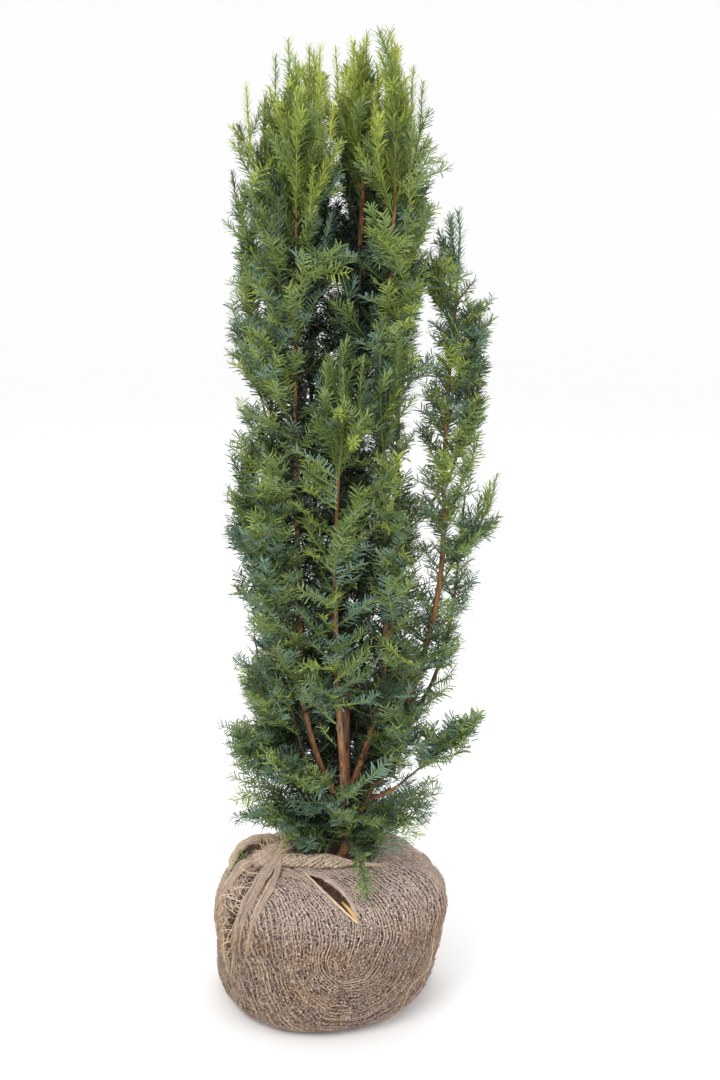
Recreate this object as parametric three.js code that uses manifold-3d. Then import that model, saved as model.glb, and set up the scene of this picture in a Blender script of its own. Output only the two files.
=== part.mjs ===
// Columnar yew sapling on its root ball, which is wrapped and tied in jute cloth.
//
// Millimetres, +Z up, -Y is the front. The origin is on the flat underside of the root ball, below the
// middle of its widest section, and the plant stands on that underside.
//
// Several upright stems leave a short trunk just above the ball. Each limb is one tapering solid, and each
// mass of foliage is one solid: a spine that starts 0.3 mm clear of its limb and swells to a slim core, and
// shoots that leave it by a seeded rule, each a toothed blade whose teeth stand for needles. The needles are
// fewer and larger than life.

import * as THREE from "three";
import { mergeVertices } from "three/addons/utils/BufferGeometryUtils.js";
import Module from "manifold-3d";

const wasm = await Module();
wasm.setup();

// ---------------------------------------------------------------- Driving dimensions

const GAP = 0.3; // clearance between two solids that touch on the real plant
const SEED = 1912; // of the rule that places shoots and needles
const GOLDEN_ANGLE = Math.PI * (3 - Math.sqrt(5));

const BALL = {
  radius: 167, // at the widest section
  widest: 138, // height of that section
  dome: 213, // where the domed top would close
  seat: 208, // flat soil round the stems
  cornerRise: 36, // height of the rounding at the foot
  cornerIn: 27, // how far that rounding comes in
  taper: 13, // how much narrower the side is at the foot
  footShift: -14, // the foot lies to the left of the shoulders
  topPower: 2.6, // how square the shoulder is
  sidePower: 2.2,
  lobes: [
    { count: 3, share: 0.014, phase: 0.8, twist: 1 / 70 },
    { count: 5, share: 0.009, phase: -1.1, twist: 1 / 45 },
  ],
  sectors: 36,
  rings: 13,
};

const TRUNK_FOOT = { x: 22, y: 4 }; // where the trunk leaves the ball
const LEAN_FROM = 780; // above this height some limbs lean to the right, by their lean at the trunk's top
const FLARE = { radius: 8, height: 22 }; // root flare, added to the trunk's radius at its foot
const UPRIGHT_BY = 250; // a stem is upright this far above its fork unless it says otherwise

// Half width of the crown's column at each height, from its foot to its trimmed top.
const COLUMN = [
  [230, 70],
  [262, 106],
  [305, 136],
  [370, 154],
  [1000, 145],
  [1200, 126],
  [1300, 104],
  [1345, 62],
];
const COLUMN_LEAN = 20; // how far the column's centre leans to the right at its top
const COLUMN_DEPTH = 0.95; // half depth as a share of the half width

// Azimuths are in degrees from +X towards +Y, so -90 is the front. spread is how far a stem stands from the
// trunk once it is upright, top the height where the limb ends in its last mass, tip how high that mass
// reaches, and bands how many masses sit along it below the last. Foliage keeps inside the crown's column,
// and lobe is how far from its limb it may also stand outside that.
const LIMBS = [
  {
    name: "trunk",
    fork: BALL.seat + GAP, spread: 0, azimuth: -90, radius: 7.5, lean: 26,
    top: 1205, tip: 1330, bands: 1, from: 985,
  },
  {
    name: "stem_front",
    fork: 232, spread: 84, azimuth: -96, radius: 5,
    top: 850, tip: 958, bands: 2, from: 240,
  },
  {
    name: "stem_front_left",
    fork: 262, spread: 80, azimuth: -142, radius: 4.6,
    top: 1165, tip: 1318, bands: 3, from: 240,
  },
  {
    name: "stem_left",
    fork: 246, spread: 100, azimuth: 178, radius: 4.4,
    top: 1120, tip: 1272, bands: 3, from: 250,
  },
  {
    name: "stem_back_left",
    fork: 280, spread: 80, azimuth: 124, radius: 4.6,
    top: 1215, tip: 1328, bands: 3, from: 250,
  },
  {
    name: "stem_back",
    fork: 238, spread: 86, azimuth: 76, radius: 4.4,
    top: 1180, tip: 1318, bands: 3, from: 245,
  },
  {
    name: "stem_back_right",
    fork: 268, spread: 86, azimuth: 34, radius: 4.6,
    top: 1210, tip: 1341, bands: 3, from: 255,
  },
  {
    name: "stem_right",
    fork: 228, uprightBy: 470, spread: 136, azimuth: -3, radius: 5.4, lean: 22, lobe: 66,
    top: 1010, tip: 1128, bands: 2, from: 385,
  },
  {
    name: "stem_front_right",
    fork: 290, spread: 72, azimuth: -42, radius: 4.6, lean: 10,
    top: 1225, tip: 1337, bands: 3, from: 245,
  },
];

// Short boughs that carry the lowest, widest foliage: each leaves its stem and bends outwards and up.
const LOW_BOUGHS = [
  {
    name: "bough_low_right",
    on: "stem_right", fork: 290, azimuth: -14, out: 50, rise: 30, radius: 3.6,
    lobe: 42, tip: 436,
  },
  {
    name: "bough_low_left",
    on: "stem_left", fork: 290, azimuth: 194, out: 40, rise: 24, radius: 3.4,
    lobe: 34, tip: 404,
  },
  {
    name: "bough_low_front",
    on: "stem_front_left", fork: 292, azimuth: -122, out: 36, rise: 18, radius: 3.2,
    lobe: 30, tip: 400,
  },
  {
    name: "bough_low_back",
    on: "stem_back_left", fork: 304, azimuth: 102, out: 38, rise: 20, radius: 3.2,
    lobe: 30, tip: 402,
  },
];

// The one shoot that hangs forward over the wrap, as points from the trunk outwards.
const HANGING_SHOOT = {
  from: 224,
  out: [34, 78, 112, 143],
  rise: [16, 14, 4, -20],
  azimuth: -77,
  radius: 2.6,
};

const NEEDLE = { length: 40, lean: 54 }; // lean in degrees from its shoot
const SHOOT = { width: 1.4, depth: 2.1, pitch: 40, shortest: 44, longest: 128 };
const RISE = { low: [4, 44], along: [22, 58], tip: [40, 66], boughTip: [12, 62] }; // of shoots, in degrees
// foot is a share of the limb's radius, and inward and outward are shares of the room round the spine.
const SPINE = { foot: 0.62, stand: 26, ring: 104, sides: 6, steps: 4 };
const CORE = { most: 34, inward: 0.8, outward: 0.5, groove: 0.58, lump: 0.2 };
const SHOOTS_PER_MASS = 6;
const BAND_SLOPE = 0.75; // a mass's lower and upper limits rise this much for each mm away from its limb
const BAND_STAGGER = 55; // so that the limits of neighbouring limbs' masses are at different heights
const SPACE_MARGIN = 1.6; // kept free inside the limits of each mass's space

const BARK = { color: 0x7a4632, roughness: 0.85 };
const FOLIAGE = { color: 0x2f4a34, roughness: 0.5 };
const TOP_FOLIAGE = { color: 0x6d8237, roughness: 0.5 };
const JUTE = { color: 0x8c735a, roughness: 0.95 };
const STRAW = { color: 0xc9a878, roughness: 0.95 };

// ---------------------------------------------------------------- Small helpers

const radians = THREE.MathUtils.degToRad;
const vector = (x, y, z) => new THREE.Vector3(x, y, z);
const ease = (t) => Math.sin((THREE.MathUtils.clamp(t, 0, 1) * Math.PI) / 2);

// A level unit vector at an azimuth in degrees.
const level = (azimuth) => vector(Math.cos(radians(azimuth)), Math.sin(radians(azimuth)), 0);

// The same number from 0 to 1 each time for the same whole-number keys.
function chance(...keys) {
  let h = SEED;
  for (const key of keys) {
    h = Math.imul(h ^ (key + 0x9e37), 0x85ebca6b);
    h = Math.imul(h ^ (h >>> 13), 0xc2b2ae35);
    h ^= h >>> 16;
  }
  return (h >>> 0) / 2 ** 32;
}

const between = (low, high, share) => low + (high - low) * share;

// A closed three.js geometry as a manifold-3d solid.
function solidOf(geometry) {
  const bare = geometry.clone();
  bare.deleteAttribute("normal");
  bare.deleteAttribute("uv");
  const merged = mergeVertices(bare, 1e-3);
  return new wasm.Manifold(
    new wasm.Mesh({
      numProp: 3,
      vertProperties: new Float32Array(merged.attributes.position.array),
      triVerts: new Uint32Array(merged.index.array),
    }),
  );
}

// The largest body of a manifold-3d solid as a three.js geometry with flat shading.
function geometryOf(solid) {
  const largest = solid.decompose().reduce((a, b) => (a.volume() > b.volume() ? a : b));
  const mesh = largest.getMesh();
  const geometry = new THREE.BufferGeometry();
  geometry.setAttribute("position", new THREE.BufferAttribute(new Float32Array(mesh.vertProperties), 3));
  geometry.setIndex(new THREE.BufferAttribute(new Uint32Array(mesh.triVerts), 1));
  const flat = geometry.toNonIndexed();
  flat.computeVertexNormals();
  return flat;
}

// A closed geometry from rings of points, each ring with as many points, and a closing point at each end.
function lofted(rings, start, end) {
  const sides = rings[0].length;
  const points = [start, ...rings.flat(), end];
  const last = points.length - 1;
  const index = [];
  for (let i = 0; i < sides; i++) {
    const next = (i + 1) % sides;
    index.push(0, 1 + next, 1 + i);
    index.push(last, last - sides + i, last - sides + next);
    for (let r = 0; r + 1 < rings.length; r++) {
      const a = 1 + r * sides + i;
      const b = 1 + r * sides + next;
      index.push(a, b, b + sides, a, b + sides, a + sides);
    }
  }
  const geometry = new THREE.BufferGeometry().setFromPoints(points);
  geometry.setIndex(index);
  return geometry;
}

// A closed tube along a curve. radiiAt(share) gives its half width and half height there.
function tube(curve, radiiAt, sides, steps, turnAt = () => 0) {
  const frames = curve.computeFrenetFrames(steps);
  const rings = [];
  for (let i = 0; i <= steps; i++) {
    const centre = curve.getPointAt(i / steps);
    const [wide, high] = radiiAt(i / steps);
    rings.push(
      Array.from({ length: sides }, (_, k) => {
        const angle = (2 * Math.PI * k) / sides + turnAt(i / steps);
        return centre
          .clone()
          .addScaledVector(frames.normals[i], wide * Math.cos(angle))
          .addScaledVector(frames.binormals[i], high * Math.sin(angle));
      }),
    );
  }
  return lofted(rings, curve.getPointAt(0), curve.getPointAt(1));
}

// ---------------------------------------------------------------- Root ball

// Radius of the ball at a height, before its lobes.
function ballRadius(z) {
  if (z > BALL.widest) {
    const u = (z - BALL.widest) / (BALL.dome - BALL.widest);
    return BALL.radius * (1 - u ** BALL.topPower) ** (1 / BALL.sidePower);
  }
  const u = 1 - z / BALL.widest;
  const v = Math.max(0, 1 - z / BALL.cornerRise);
  return BALL.radius - BALL.taper * u ** 1.5 - BALL.cornerIn * (1 - Math.sqrt(1 - v * v));
}

// Height of the ball's upper surface at a distance from its middle.
function ballTop(r) {
  const u = (1 - Math.min(1, r / BALL.radius) ** BALL.sidePower) ** (1 / BALL.topPower);
  return Math.min(BALL.seat, BALL.widest + (BALL.dome - BALL.widest) * u);
}

function ballPoint(angle, z, grow = 0) {
  let r = ballRadius(z);
  for (const { count, share, phase, twist } of BALL.lobes) {
    r *= 1 + share * Math.sin(count * angle + phase + z * twist);
  }
  const shift = BALL.footShift * Math.max(0, 1 - z / BALL.widest);
  return vector(shift + (r + grow) * Math.cos(angle), (r + grow) * Math.sin(angle), z);
}

// The ball as rings that lie closer together at the foot and the shoulder. grow makes it larger all round.
function ballGeometry(grow = 0) {
  const rings = [];
  for (let i = 0; i <= BALL.rings; i++) {
    const z = (BALL.seat * (1 - Math.cos((Math.PI * i) / BALL.rings))) / 2;
    rings.push(
      Array.from({ length: BALL.sectors }, (_, k) => {
        const point = ballPoint((2 * Math.PI * k) / BALL.sectors, z, grow);
        if (i === BALL.rings) point.z += grow;
        return point;
      }),
    );
  }
  return lofted(rings, vector(0, 0, 0), vector(0, 0, BALL.seat + grow));
}

// The open fold in the front shoulder: a lens as seen along the surface's normal, cut into the ball.
function foldCut() {
  const length = 108;
  const bulge = 15;
  const depth = 9;
  const shape = new THREE.Shape();
  shape.moveTo(-length / 2, 0);
  shape.quadraticCurveTo(0, bulge, length / 2, 0);
  shape.quadraticCurveTo(0, -bulge * 0.5, -length / 2, 0);
  const cut = new THREE.ExtrudeGeometry(shape, { depth: 3 * depth, bevelEnabled: false, curveSegments: 5 });
  const from = vector(-36, -60, ballTop(70));
  const to = vector(36, -137, ballTop(141));
  const along = to.clone().sub(from).normalize();
  const out = vector(-0.1, -0.45, 1).addScaledVector(along, -vector(-0.1, -0.45, 1).dot(along)).normalize();
  const across = out.clone().cross(along);
  const place = new THREE.Matrix4().makeBasis(along, across, out);
  place.setPosition(from.add(to).multiplyScalar(0.5).addScaledVector(out, -depth + 4));
  return cut.applyMatrix4(place);
}

// ---------------------------------------------------------------- Wrap

const KNOT = { at: vector(-86, -34, 214), radii: [23, 19, 17], lobes: 7, lobe: 0.13 };

function knotGeometry() {
  const rings = [];
  const count = 7;
  const sectors = 14;
  for (let i = 1; i < count; i++) {
    const polar = Math.PI - (Math.PI * i) / count;
    rings.push(
      Array.from({ length: sectors }, (_, k) => {
        const angle = (2 * Math.PI * k) / sectors;
        const swell = 1 + KNOT.lobe * Math.sin(KNOT.lobes * angle + 2 * polar);
        return vector(
          KNOT.at.x + KNOT.radii[0] * swell * Math.sin(polar) * Math.cos(angle),
          KNOT.at.y + KNOT.radii[1] * swell * Math.sin(polar) * Math.sin(angle),
          KNOT.at.z + KNOT.radii[2] * Math.cos(polar),
        );
      }),
    );
  }
  const pole = vector(0, 0, KNOT.radii[2]);
  return lofted(rings, KNOT.at.clone().sub(pole), KNOT.at.clone().add(pole));
}

// A point on the ball's side or shoulder at an azimuth in degrees, standing off it by a distance.
function onBall(azimuth, z, stand = 0) {
  return ballPoint(radians(azimuth), z, stand);
}

const WRAP_PIECES = [
  {
    name: "wrap_knot",
    material: STRAW,
    make: knotGeometry,
  },
  {
    // Gathers of cloth and cut ends that run from the knot down the left of the front.
    name: "wrap_gathers",
    material: JUTE,
    make: () =>
      tube(
        new THREE.CatmullRomCurve3([
          vector(-106, -47, 209),
          onBall(206, 188, 4),
          onBall(209, 160, 2),
          onBall(211, 118, 1),
          onBall(213, 70, 0),
          onBall(214, 34, -2),
        ]),
        (t) => {
          const narrowed = t > 0.75 ? between(1, 0.45, 4 * t - 3) : 1;
          return [between(17, 24, ease(2 * t)) * narrowed, between(11, 4, t)];
        },
        8,
        10,
      ),
  },
  {
    // A tied corner of the cloth, twisted to a band, that crosses the front of the stems.
    name: "wrap_band",
    material: STRAW,
    make: () =>
      tube(
        new THREE.CatmullRomCurve3([
          vector(-62, -37, 215),
          vector(-30, -43, 215.5),
          vector(10, -47, 216),
          vector(40, -48, 215),
          vector(66, -46, 211),
        ]),
        (t) => [between(8, 2.6, t * t), between(8.5, 3, t * t * t)],
        6,
        12,
        (t) => 3.2 * t,
      ),
  },
  {
    // The ear of loose cloth that stands up along the left shoulder.
    name: "wrap_ear",
    material: JUTE,
    make: () =>
      tube(
        new THREE.CatmullRomCurve3([
          onBall(192, 172, -2),
          onBall(180, 190, -1),
          onBall(164, 203, -4),
          onBall(146, 205, -8),
          onBall(128, 200, -8),
        ]),
        (t) => [between(5, 14, Math.sin(Math.PI * t)), between(4, 13, Math.sin(Math.PI * t))],
        8,
        9,
      ),
  },
];

// ---------------------------------------------------------------- Limbs

// The axis of an upright limb at a height: out from the trunk's foot, then upright, with a slight sway.
function stemAxis(limb, z) {
  const risen = ease((z - limb.fork) / (limb.uprightBy ?? UPRIGHT_BY));
  const sway = 0.045 * limb.spread * Math.sin(z / 96 + limb.azimuth);
  const lean = (limb.lean ?? 0) * THREE.MathUtils.smoothstep(z, LEAN_FROM, LIMBS[0].top);
  return vector(TRUNK_FOOT.x + lean, TRUNK_FOOT.y, z)
    .addScaledVector(level(limb.azimuth), limb.spread * risen)
    .addScaledVector(level(limb.azimuth + 90), sway * risen);
}

function uprightCurve(limb) {
  const count = 14;
  const heights = Array.from({ length: count + 1 }, (_, i) => between(limb.fork, limb.top, i / count));
  const points = heights.map((z) => stemAxis(limb, z));
  return new THREE.CatmullRomCurve3(points);
}

function lowBoughCurve(bough) {
  const start = stemAxis(LIMBS.find((limb) => limb.name === bough.on), bough.fork);
  const points = [0, 0.35, 0.7, 1].map((t) =>
    start
      .clone()
      .addScaledVector(level(bough.azimuth), bough.out * t)
      .add(vector(0, 0, bough.rise * t * (0.55 + 0.45 * t))),
  );
  return new THREE.CatmullRomCurve3(points);
}

// Radius of a limb at a share of its length. A trunk also flares at its foot.
function limbRadius(limb, t) {
  const taper = limb.radius * between(1, 0.38, t);
  if (limb.name !== "trunk") return taper;
  const height = t * (limb.top - limb.fork);
  return taper + FLARE.radius * Math.max(0, 1 - height / FLARE.height) ** 2;
}

function limbGeometry(limb, grow = 0) {
  const steps = limb.spread === undefined ? 3 : 10;
  const sides = limb.name === "trunk" ? 9 : 6;
  return tube(limb.curve, (t) => [limbRadius(limb, t) + grow, limbRadius(limb, t) + grow], sides, steps);
}

for (const limb of LIMBS) limb.curve = uprightCurve(limb);
for (const bough of LOW_BOUGHS) bough.curve = lowBoughCurve(bough);
const ALL_LIMBS = [...LIMBS, ...LOW_BOUGHS];

// Points along each limb with its radius there, and on past its end to where its last mass reaches.
const TRACK_STEPS = 26;
for (const limb of ALL_LIMBS) {
  limb.track = Array.from({ length: TRACK_STEPS + 1 }, (_, i) => ({
    at: limb.curve.getPointAt(i / TRACK_STEPS),
    radius: limbRadius(limb, i / TRACK_STEPS),
  }));
  const end = limb.curve.getPointAt(1);
  const heading = vector(0, 0, 1);
  if (limb.spread === undefined) heading.add(level(limb.azimuth)).normalize();
  const onward = (limb.tip - end.z) / heading.z;
  limb.onward = { at: end.clone().addScaledVector(heading, onward), heading };
}

const segment = new THREE.Line3();
const nearest = new THREE.Vector3();

function distanceTo(a, b, point) {
  segment.set(a, b).closestPointToPoint(point, true, nearest);
  return nearest.distanceTo(point);
}

// Distance from a point to a limb's axis. With onward, its last mass's axis counts too.
function axisDistance(limb, point, onward) {
  let least = Infinity;
  for (let i = 0; i < TRACK_STEPS; i++) {
    least = Math.min(least, distanceTo(limb.track[i].at, limb.track[i + 1].at, point));
  }
  if (onward) least = Math.min(least, distanceTo(limb.track[TRACK_STEPS].at, limb.onward.at, point));
  return least;
}

// True if a ball of the given radius round the point touches any limb's wood.
function touchesLimb(point, radius) {
  return ALL_LIMBS.some((limb) =>
    limb.track.some(({ at, radius: wood }, i) => {
      if (i === TRACK_STEPS) return false;
      return distanceTo(at, limb.track[i + 1].at, point) < wood + radius + 2 * GAP;
    }),
  );
}

// ---------------------------------------------------------------- Foliage

// The axis point of a limb nearest to a height.
function axisAt(limb, z) {
  if (z > limb.top) return limb.onward.at.clone().setZ(z);
  return stemAxis(limb, z);
}

// Half width of the column at a height, or 0 above and below it.
function columnAt(z) {
  for (let i = 1; i < COLUMN.length; i++) {
    const [low, below] = COLUMN[i - 1];
    const [high, above] = COLUMN[i];
    if (z >= low && z <= high) return between(below, above, (z - low) / (high - low));
  }
  return 0;
}

function inColumn({ x, y, z }) {
  const half = columnAt(z);
  const centre = (COLUMN_LEAN * (z - COLUMN[0][0])) / (COLUMN.at(-1)[0] - COLUMN[0][0]);
  return half > 0 && Math.hypot((x - centre) / half, y / (half * COLUMN_DEPTH)) < 1;
}

// True if the point lies in the mass's own space: in the crown, between the mass's lower and upper limits,
// and nearer to its limb than to any other.
function inSpace(mass, point) {
  const { limb, low, high } = mass;
  const own = axisDistance(limb, point, true);
  if (!inColumn(point) && !(own < limb.lobe)) return false;
  const rise = point.z - BAND_SLOPE * own;
  if (rise < low + SPACE_MARGIN || rise > high - SPACE_MARGIN) return false;
  if (point.z > limb.tip || point.z < COLUMN[0][0]) return false;
  const others = ALL_LIMBS.filter((other) => other !== limb);
  return others.every((other) => axisDistance(other, point, true) > own + 2 * SPACE_MARGIN);
}

// True if a straight piece from a to b stays in the space and clear of the wood. The first part of it lies
// inside what carries it.
function fits(mass, a, b, radius, from = 0.2) {
  const checks = Math.ceil((a.distanceTo(b) * (1 - from)) / (4 * radius));
  for (let i = 0; i <= checks; i++) {
    const point = a.clone().lerp(b, between(from, 1, i / checks));
    if (!mass.allows(point) || touchesLimb(point, radius)) return false;
  }
  return true;
}

// Two directions square to a heading: the first as level as it can be.
function squareTo(heading) {
  const side = vector(-heading.y, heading.x, 0);
  if (side.lengthSq() < 1e-6) side.set(1, 0, 0);
  side.normalize();
  return [side, heading.clone().cross(side)];
}

// The tip of a shoot's needle on one side (1 or -1), or null if it doesn't fit. It leans forwards and stands
// up to 50 degrees out of the shoot's plane.
function needleTip(mass, root, heading, [side, up], hand, key) {
  const lean = radians(NEEDLE.lean * between(0.75, 1.1, chance(key, 1)));
  const out = radians(between(-50, 50, chance(key, 2)));
  const length = NEEDLE.length * between(0.85, 1.15, chance(key, 3));
  const tip = root
    .clone()
    .addScaledVector(heading, length * Math.cos(lean))
    .addScaledVector(side, hand * length * Math.sin(lean) * Math.cos(out))
    .addScaledVector(up, length * Math.sin(lean) * Math.sin(out));
  return fits(mass, root, tip, SHOOT.width, 0.35) ? tip : null;
}

// A closed toothed blade from a to b: a rod of diamond section whose two side edges run out to needle tips.
function shootGeometry(mass, a, b, key, bare = 0.22) {
  const heading = b.clone().sub(a).normalize();
  const square = squareTo(heading);
  square.forEach((direction) => direction.applyAxisAngle(heading, Math.PI * chance(key, 4)));
  const length = a.distanceTo(b);
  const pairs = Math.max(2, Math.round((length * (1 - bare)) / SHOOT.pitch));
  const shares = [0, ...Array.from({ length: pairs + 1 }, (_, i) => between(bare, 0.9, i / pairs))];
  const points = [];
  for (const share of shares) {
    const slim = between(1, 0.55, share);
    const offsets = [
      [SHOOT.width * slim, 0],
      [0, SHOOT.depth * slim],
      [-SHOOT.width * slim, 0],
      [0, -SHOOT.depth * slim],
    ];
    for (const [wide, high] of offsets) {
      const middle = a.clone().addScaledVector(heading, share * length);
      points.push(middle.addScaledVector(square[0], wide).addScaledVector(square[1], high));
    }
  }
  const index = [0, 3, 2, 0, 2, 1];
  for (let i = 0; i + 1 < shares.length; i++) {
    const near = (k) => 4 * i + (k % 4);
    const far = (k) => near(k) + 4;
    for (const [edge, hand] of [
      [0, 1],
      [2, -1],
    ]) {
      const above = edge + 1;
      const below = edge + 3;
      const root = points[near(edge)].clone().lerp(points[far(edge)], 0.5);
      const tip = i > 0 && needleTip(mass, root, heading, square, hand, key * 13 + 2 * i + edge);
      if (tip) {
        const p = points.push(tip) - 1;
        index.push(p, near(edge), near(above), p, near(above), far(above), p, far(above), far(edge));
        index.push(p, far(edge), far(below), p, far(below), near(below), p, near(below), near(edge));
      } else {
        index.push(near(edge), near(above), far(above), near(edge), far(above), far(edge));
        index.push(near(below), near(edge), far(edge), near(below), far(edge), far(below));
      }
    }
  }
  const last = 4 * (shares.length - 1);
  const end = points.push(b.clone()) - 1;
  for (let k = 0; k < 4; k++) index.push(last + k, last + ((k + 1) % 4), end);
  const geometry = new THREE.BufferGeometry().setFromPoints(points);
  geometry.setIndex(index);
  return geometry;
}

// The longest shoot from a point along a heading that fits, or null.
function shootFrom(mass, from, heading, longest) {
  for (let length = longest; length >= SHOOT.shortest; length -= 8) {
    const tip = from.clone().addScaledVector(heading, length);
    if (fits(mass, from, tip, SHOOT.depth, 0.25)) return tip;
  }
  return null;
}

// The shoots on a mass's spine, as closed geometries whose roots lie inside it.
function shootsOf(mass) {
  const { spine, key, outward, spreadOf, longest } = mass;
  const made = [];
  const count = mass.shoots ?? SHOOTS_PER_MASS;
  for (let i = 0; i < count; i++) {
    const from = spine.getPointAt(between(mass.firstShoot ?? 0.2, 0.86, i / (count - 1)));
    for (let attempt = 0; attempt < 6; attempt++) {
      const turned = i * GOLDEN_ANGLE + 2 * Math.PI * chance(key, i, attempt);
      const swing = (turned % (2 * Math.PI)) / Math.PI - 1;
      const rise = radians(between(...mass.rise, chance(key, i, attempt, 5)));
      const heading = level(outward + swing * spreadOf)
        .multiplyScalar(Math.cos(rise))
        .add(vector(0, 0, Math.sin(rise)));
      const tip = shootFrom(mass, from, heading, longest);
      if (!tip) continue;
      made.push(shootGeometry(mass, from, tip, key * 31 + i));
      break;
    }
  }
  const before = spine.getPointAt(0.74);
  const end = spine.getPointAt(1);
  const beyond = end.clone().addScaledVector(end.clone().sub(before).normalize(), NEEDLE.length * 0.5);
  made.push(shootGeometry(mass, before, fits(mass, end, beyond, SHOOT.depth) ? beyond : end, key * 57, 0.3));
  return made;
}

// How far the core stands off its spine in a direction: less on the crown's outside, where shoots stand out.
function coreReach(mass, point, direction) {
  const share = between(CORE.inward, CORE.outward, Math.max(0, direction.dot(level(mass.outward))));
  const step = 3;
  let room = step;
  for (; room < CORE.most / share; room += step) {
    const edge = point.clone().addScaledVector(direction, room);
    if (!mass.allows(edge) || touchesLimb(edge, GAP)) break;
  }
  return Math.min(mass.core ?? CORE.most, share * (room - step));
}

// The spine: a twig where it leaves its limb, a slim ragged core further on that fills part of its space, and
// a twig again at its end.
function spineGeometry(mass) {
  const { steps, sides } = SPINE;
  const { normals, binormals, tangents } = mass.spine.computeFrenetFrames(steps);
  const spacing = mass.spine.getLength() / steps;
  const rings = [];
  for (let i = 0; i <= steps; i++) {
    const centre = mass.spine.getPointAt(i / steps);
    const slim = between(mass.foot, 1, i / steps);
    const cored = mass.core !== false && i > 0 && i < steps;
    rings.push(
      Array.from({ length: sides }, (_, k) => {
        const angle = (2 * Math.PI * k) / sides;
        const direction = normals[i]
          .clone()
          .multiplyScalar(Math.cos(angle))
          .addScaledVector(binormals[i], Math.sin(angle));
        if (!cored) return centre.clone().addScaledVector(direction, slim);
        const ridge = (i + k) % 2 === 0;
        const lump = (ridge ? 1 : CORE.groove) * (1 - CORE.lump * chance(mass.key, i, k, 6));
        return centre
          .clone()
          .addScaledVector(direction, Math.max(slim, coreReach(mass, centre, direction) * lump))
          .addScaledVector(tangents[i], (ridge ? 0.3 : -0.1) * spacing);
      }),
    );
  }
  return lofted(rings, mass.spine.getPointAt(0), mass.spine.getPointAt(1));
}

// The point that stands off a limb's axis as far as wanted, or nearer where that isn't in the mass's space.
function standOff(mass, axis, wanted) {
  const out = level(mass.outward);
  for (let stand = wanted; stand > 0.5 * SPINE.stand; stand -= 6) {
    const point = axis.clone().addScaledVector(out, stand);
    if (inSpace(mass, point)) return point;
  }
  return axis.clone().addScaledVector(out, Math.min(wanted, 0.5 * SPINE.stand));
}

// The masses that sit along a limb, one above the other, each on its outer side.
function bandMasses(limb, order) {
  const made = [];
  for (let k = 0; k < (limb.bands ?? 0); k++) {
    const [low, high] = [k, k + 1].map((limit) => {
      const stagger = limit > 0 && limit < limb.bands ? BAND_STAGGER * ((order % 3) - 1) : 0;
      return between(limb.from, limb.top - 30, limit / limb.bands) + stagger;
    });
    const mass = {
      name: `foliage_${limb.name.replace("stem_", "")}_${k + 1}`,
      limb,
      low: k ? low : 0,
      high,
      key: order * 100 + k,
      outward: limb.azimuth + between(-1, 1, chance(order, k, 1)) * (k ? 26 : 8),
      spreadOf: limb.spread ? 112 : 180,
      longest: SHOOT.longest,
      rise: k ? RISE.along : RISE.low,
      shoots: k ? SHOOTS_PER_MASS : SHOOTS_PER_MASS + 1,
      foot: SPINE.foot * limb.radius * between(1, 0.38, k / limb.bands),
    };
    const points = [0.02, k ? 0.28 : 0.14, k ? 0.6 : 0.4, 1].map((t, i) => {
      const axis = axisAt(limb, between(low + 8, high + 8, t));
      const toRing = limb.spread ? SPINE.ring - Math.hypot(axis.x - TRUNK_FOOT.x, axis.y - TRUNK_FOOT.y) : 0;
      return i ? standOff(mass, axis, Math.max(SPINE.stand, toRing) * [0, 0.75, 1, 1.1][i]) : axis;
    });
    mass.spine = new THREE.CatmullRomCurve3(points);
    made.push(mass);
  }
  return made;
}

// The mass that a limb ends in.
function tipMass(limb, order) {
  const start = limb.curve.getPointAt(1).addScaledVector(limb.curve.getTangentAt(1), 1.5 * GAP);
  const heading = limb.onward.heading;
  const length = (limb.tip - start.z) / heading.z - 4;
  const points = [0, 0.4, 0.75, 1].map((t, i) =>
    start
      .clone()
      .addScaledVector(heading, length * t)
      .addScaledVector(level(137 * order), [0, 2, 4, 1][i]),
  );
  const upright = limb.spread !== undefined;
  return {
    name: `foliage_${limb.name.replace("stem_", "")}_tip`,
    limb,
    low: (upright ? limb.top : COLUMN[0][0]) - 30,
    high: Infinity,
    key: order * 100 + 50,
    outward: limb.azimuth,
    spreadOf: 180,
    longest: upright ? 90 : SHOOT.longest,
    rise: upright ? RISE.tip : RISE.boughTip,
    firstShoot: 0.22,
    core: upright ? 24 : 30,
    shoots: SHOOTS_PER_MASS - 1,
    foot: limbRadius(limb, 1) * 0.98,
    spine: new THREE.CatmullRomCurve3(points),
  };
}

// The shoot that hangs forward over the wrap. It keeps below the other masses and above the ball.
function hangingMass() {
  const { from, out, rise, azimuth, radius } = HANGING_SHOOT;
  const start = stemAxis(LIMBS[0], from);
  const onwards = out.map((distance, i) =>
    start
      .clone()
      .addScaledVector(level(azimuth), distance)
      .add(vector(0, 0, rise[i])),
  );
  const clear = (point) =>
    point.z < COLUMN[0][0] - 1 && point.z > ballTop(Math.hypot(point.x, point.y)) + 2.5 && point.y < -58;
  return {
    name: "foliage_hanging",
    limb: LIMBS[0],
    key: 9000,
    foot: radius,
    spine: new THREE.CatmullRomCurve3([start, ...onwards]),
    allows: clear,
    core: false,
    hanging: true,
  };
}

// The hanging shoot's spine carries its needles itself, over its outer two thirds.
function needlesOnSpine(mass) {
  const stretches = [
    [0.36, 0.62],
    [0.58, 0.84],
    [0.8, 1],
  ];
  return stretches.map(([from, to], i) =>
    shootGeometry(mass, mass.spine.getPointAt(from), mass.spine.getPointAt(to), mass.key + i, 0.1),
  );
}

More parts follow.
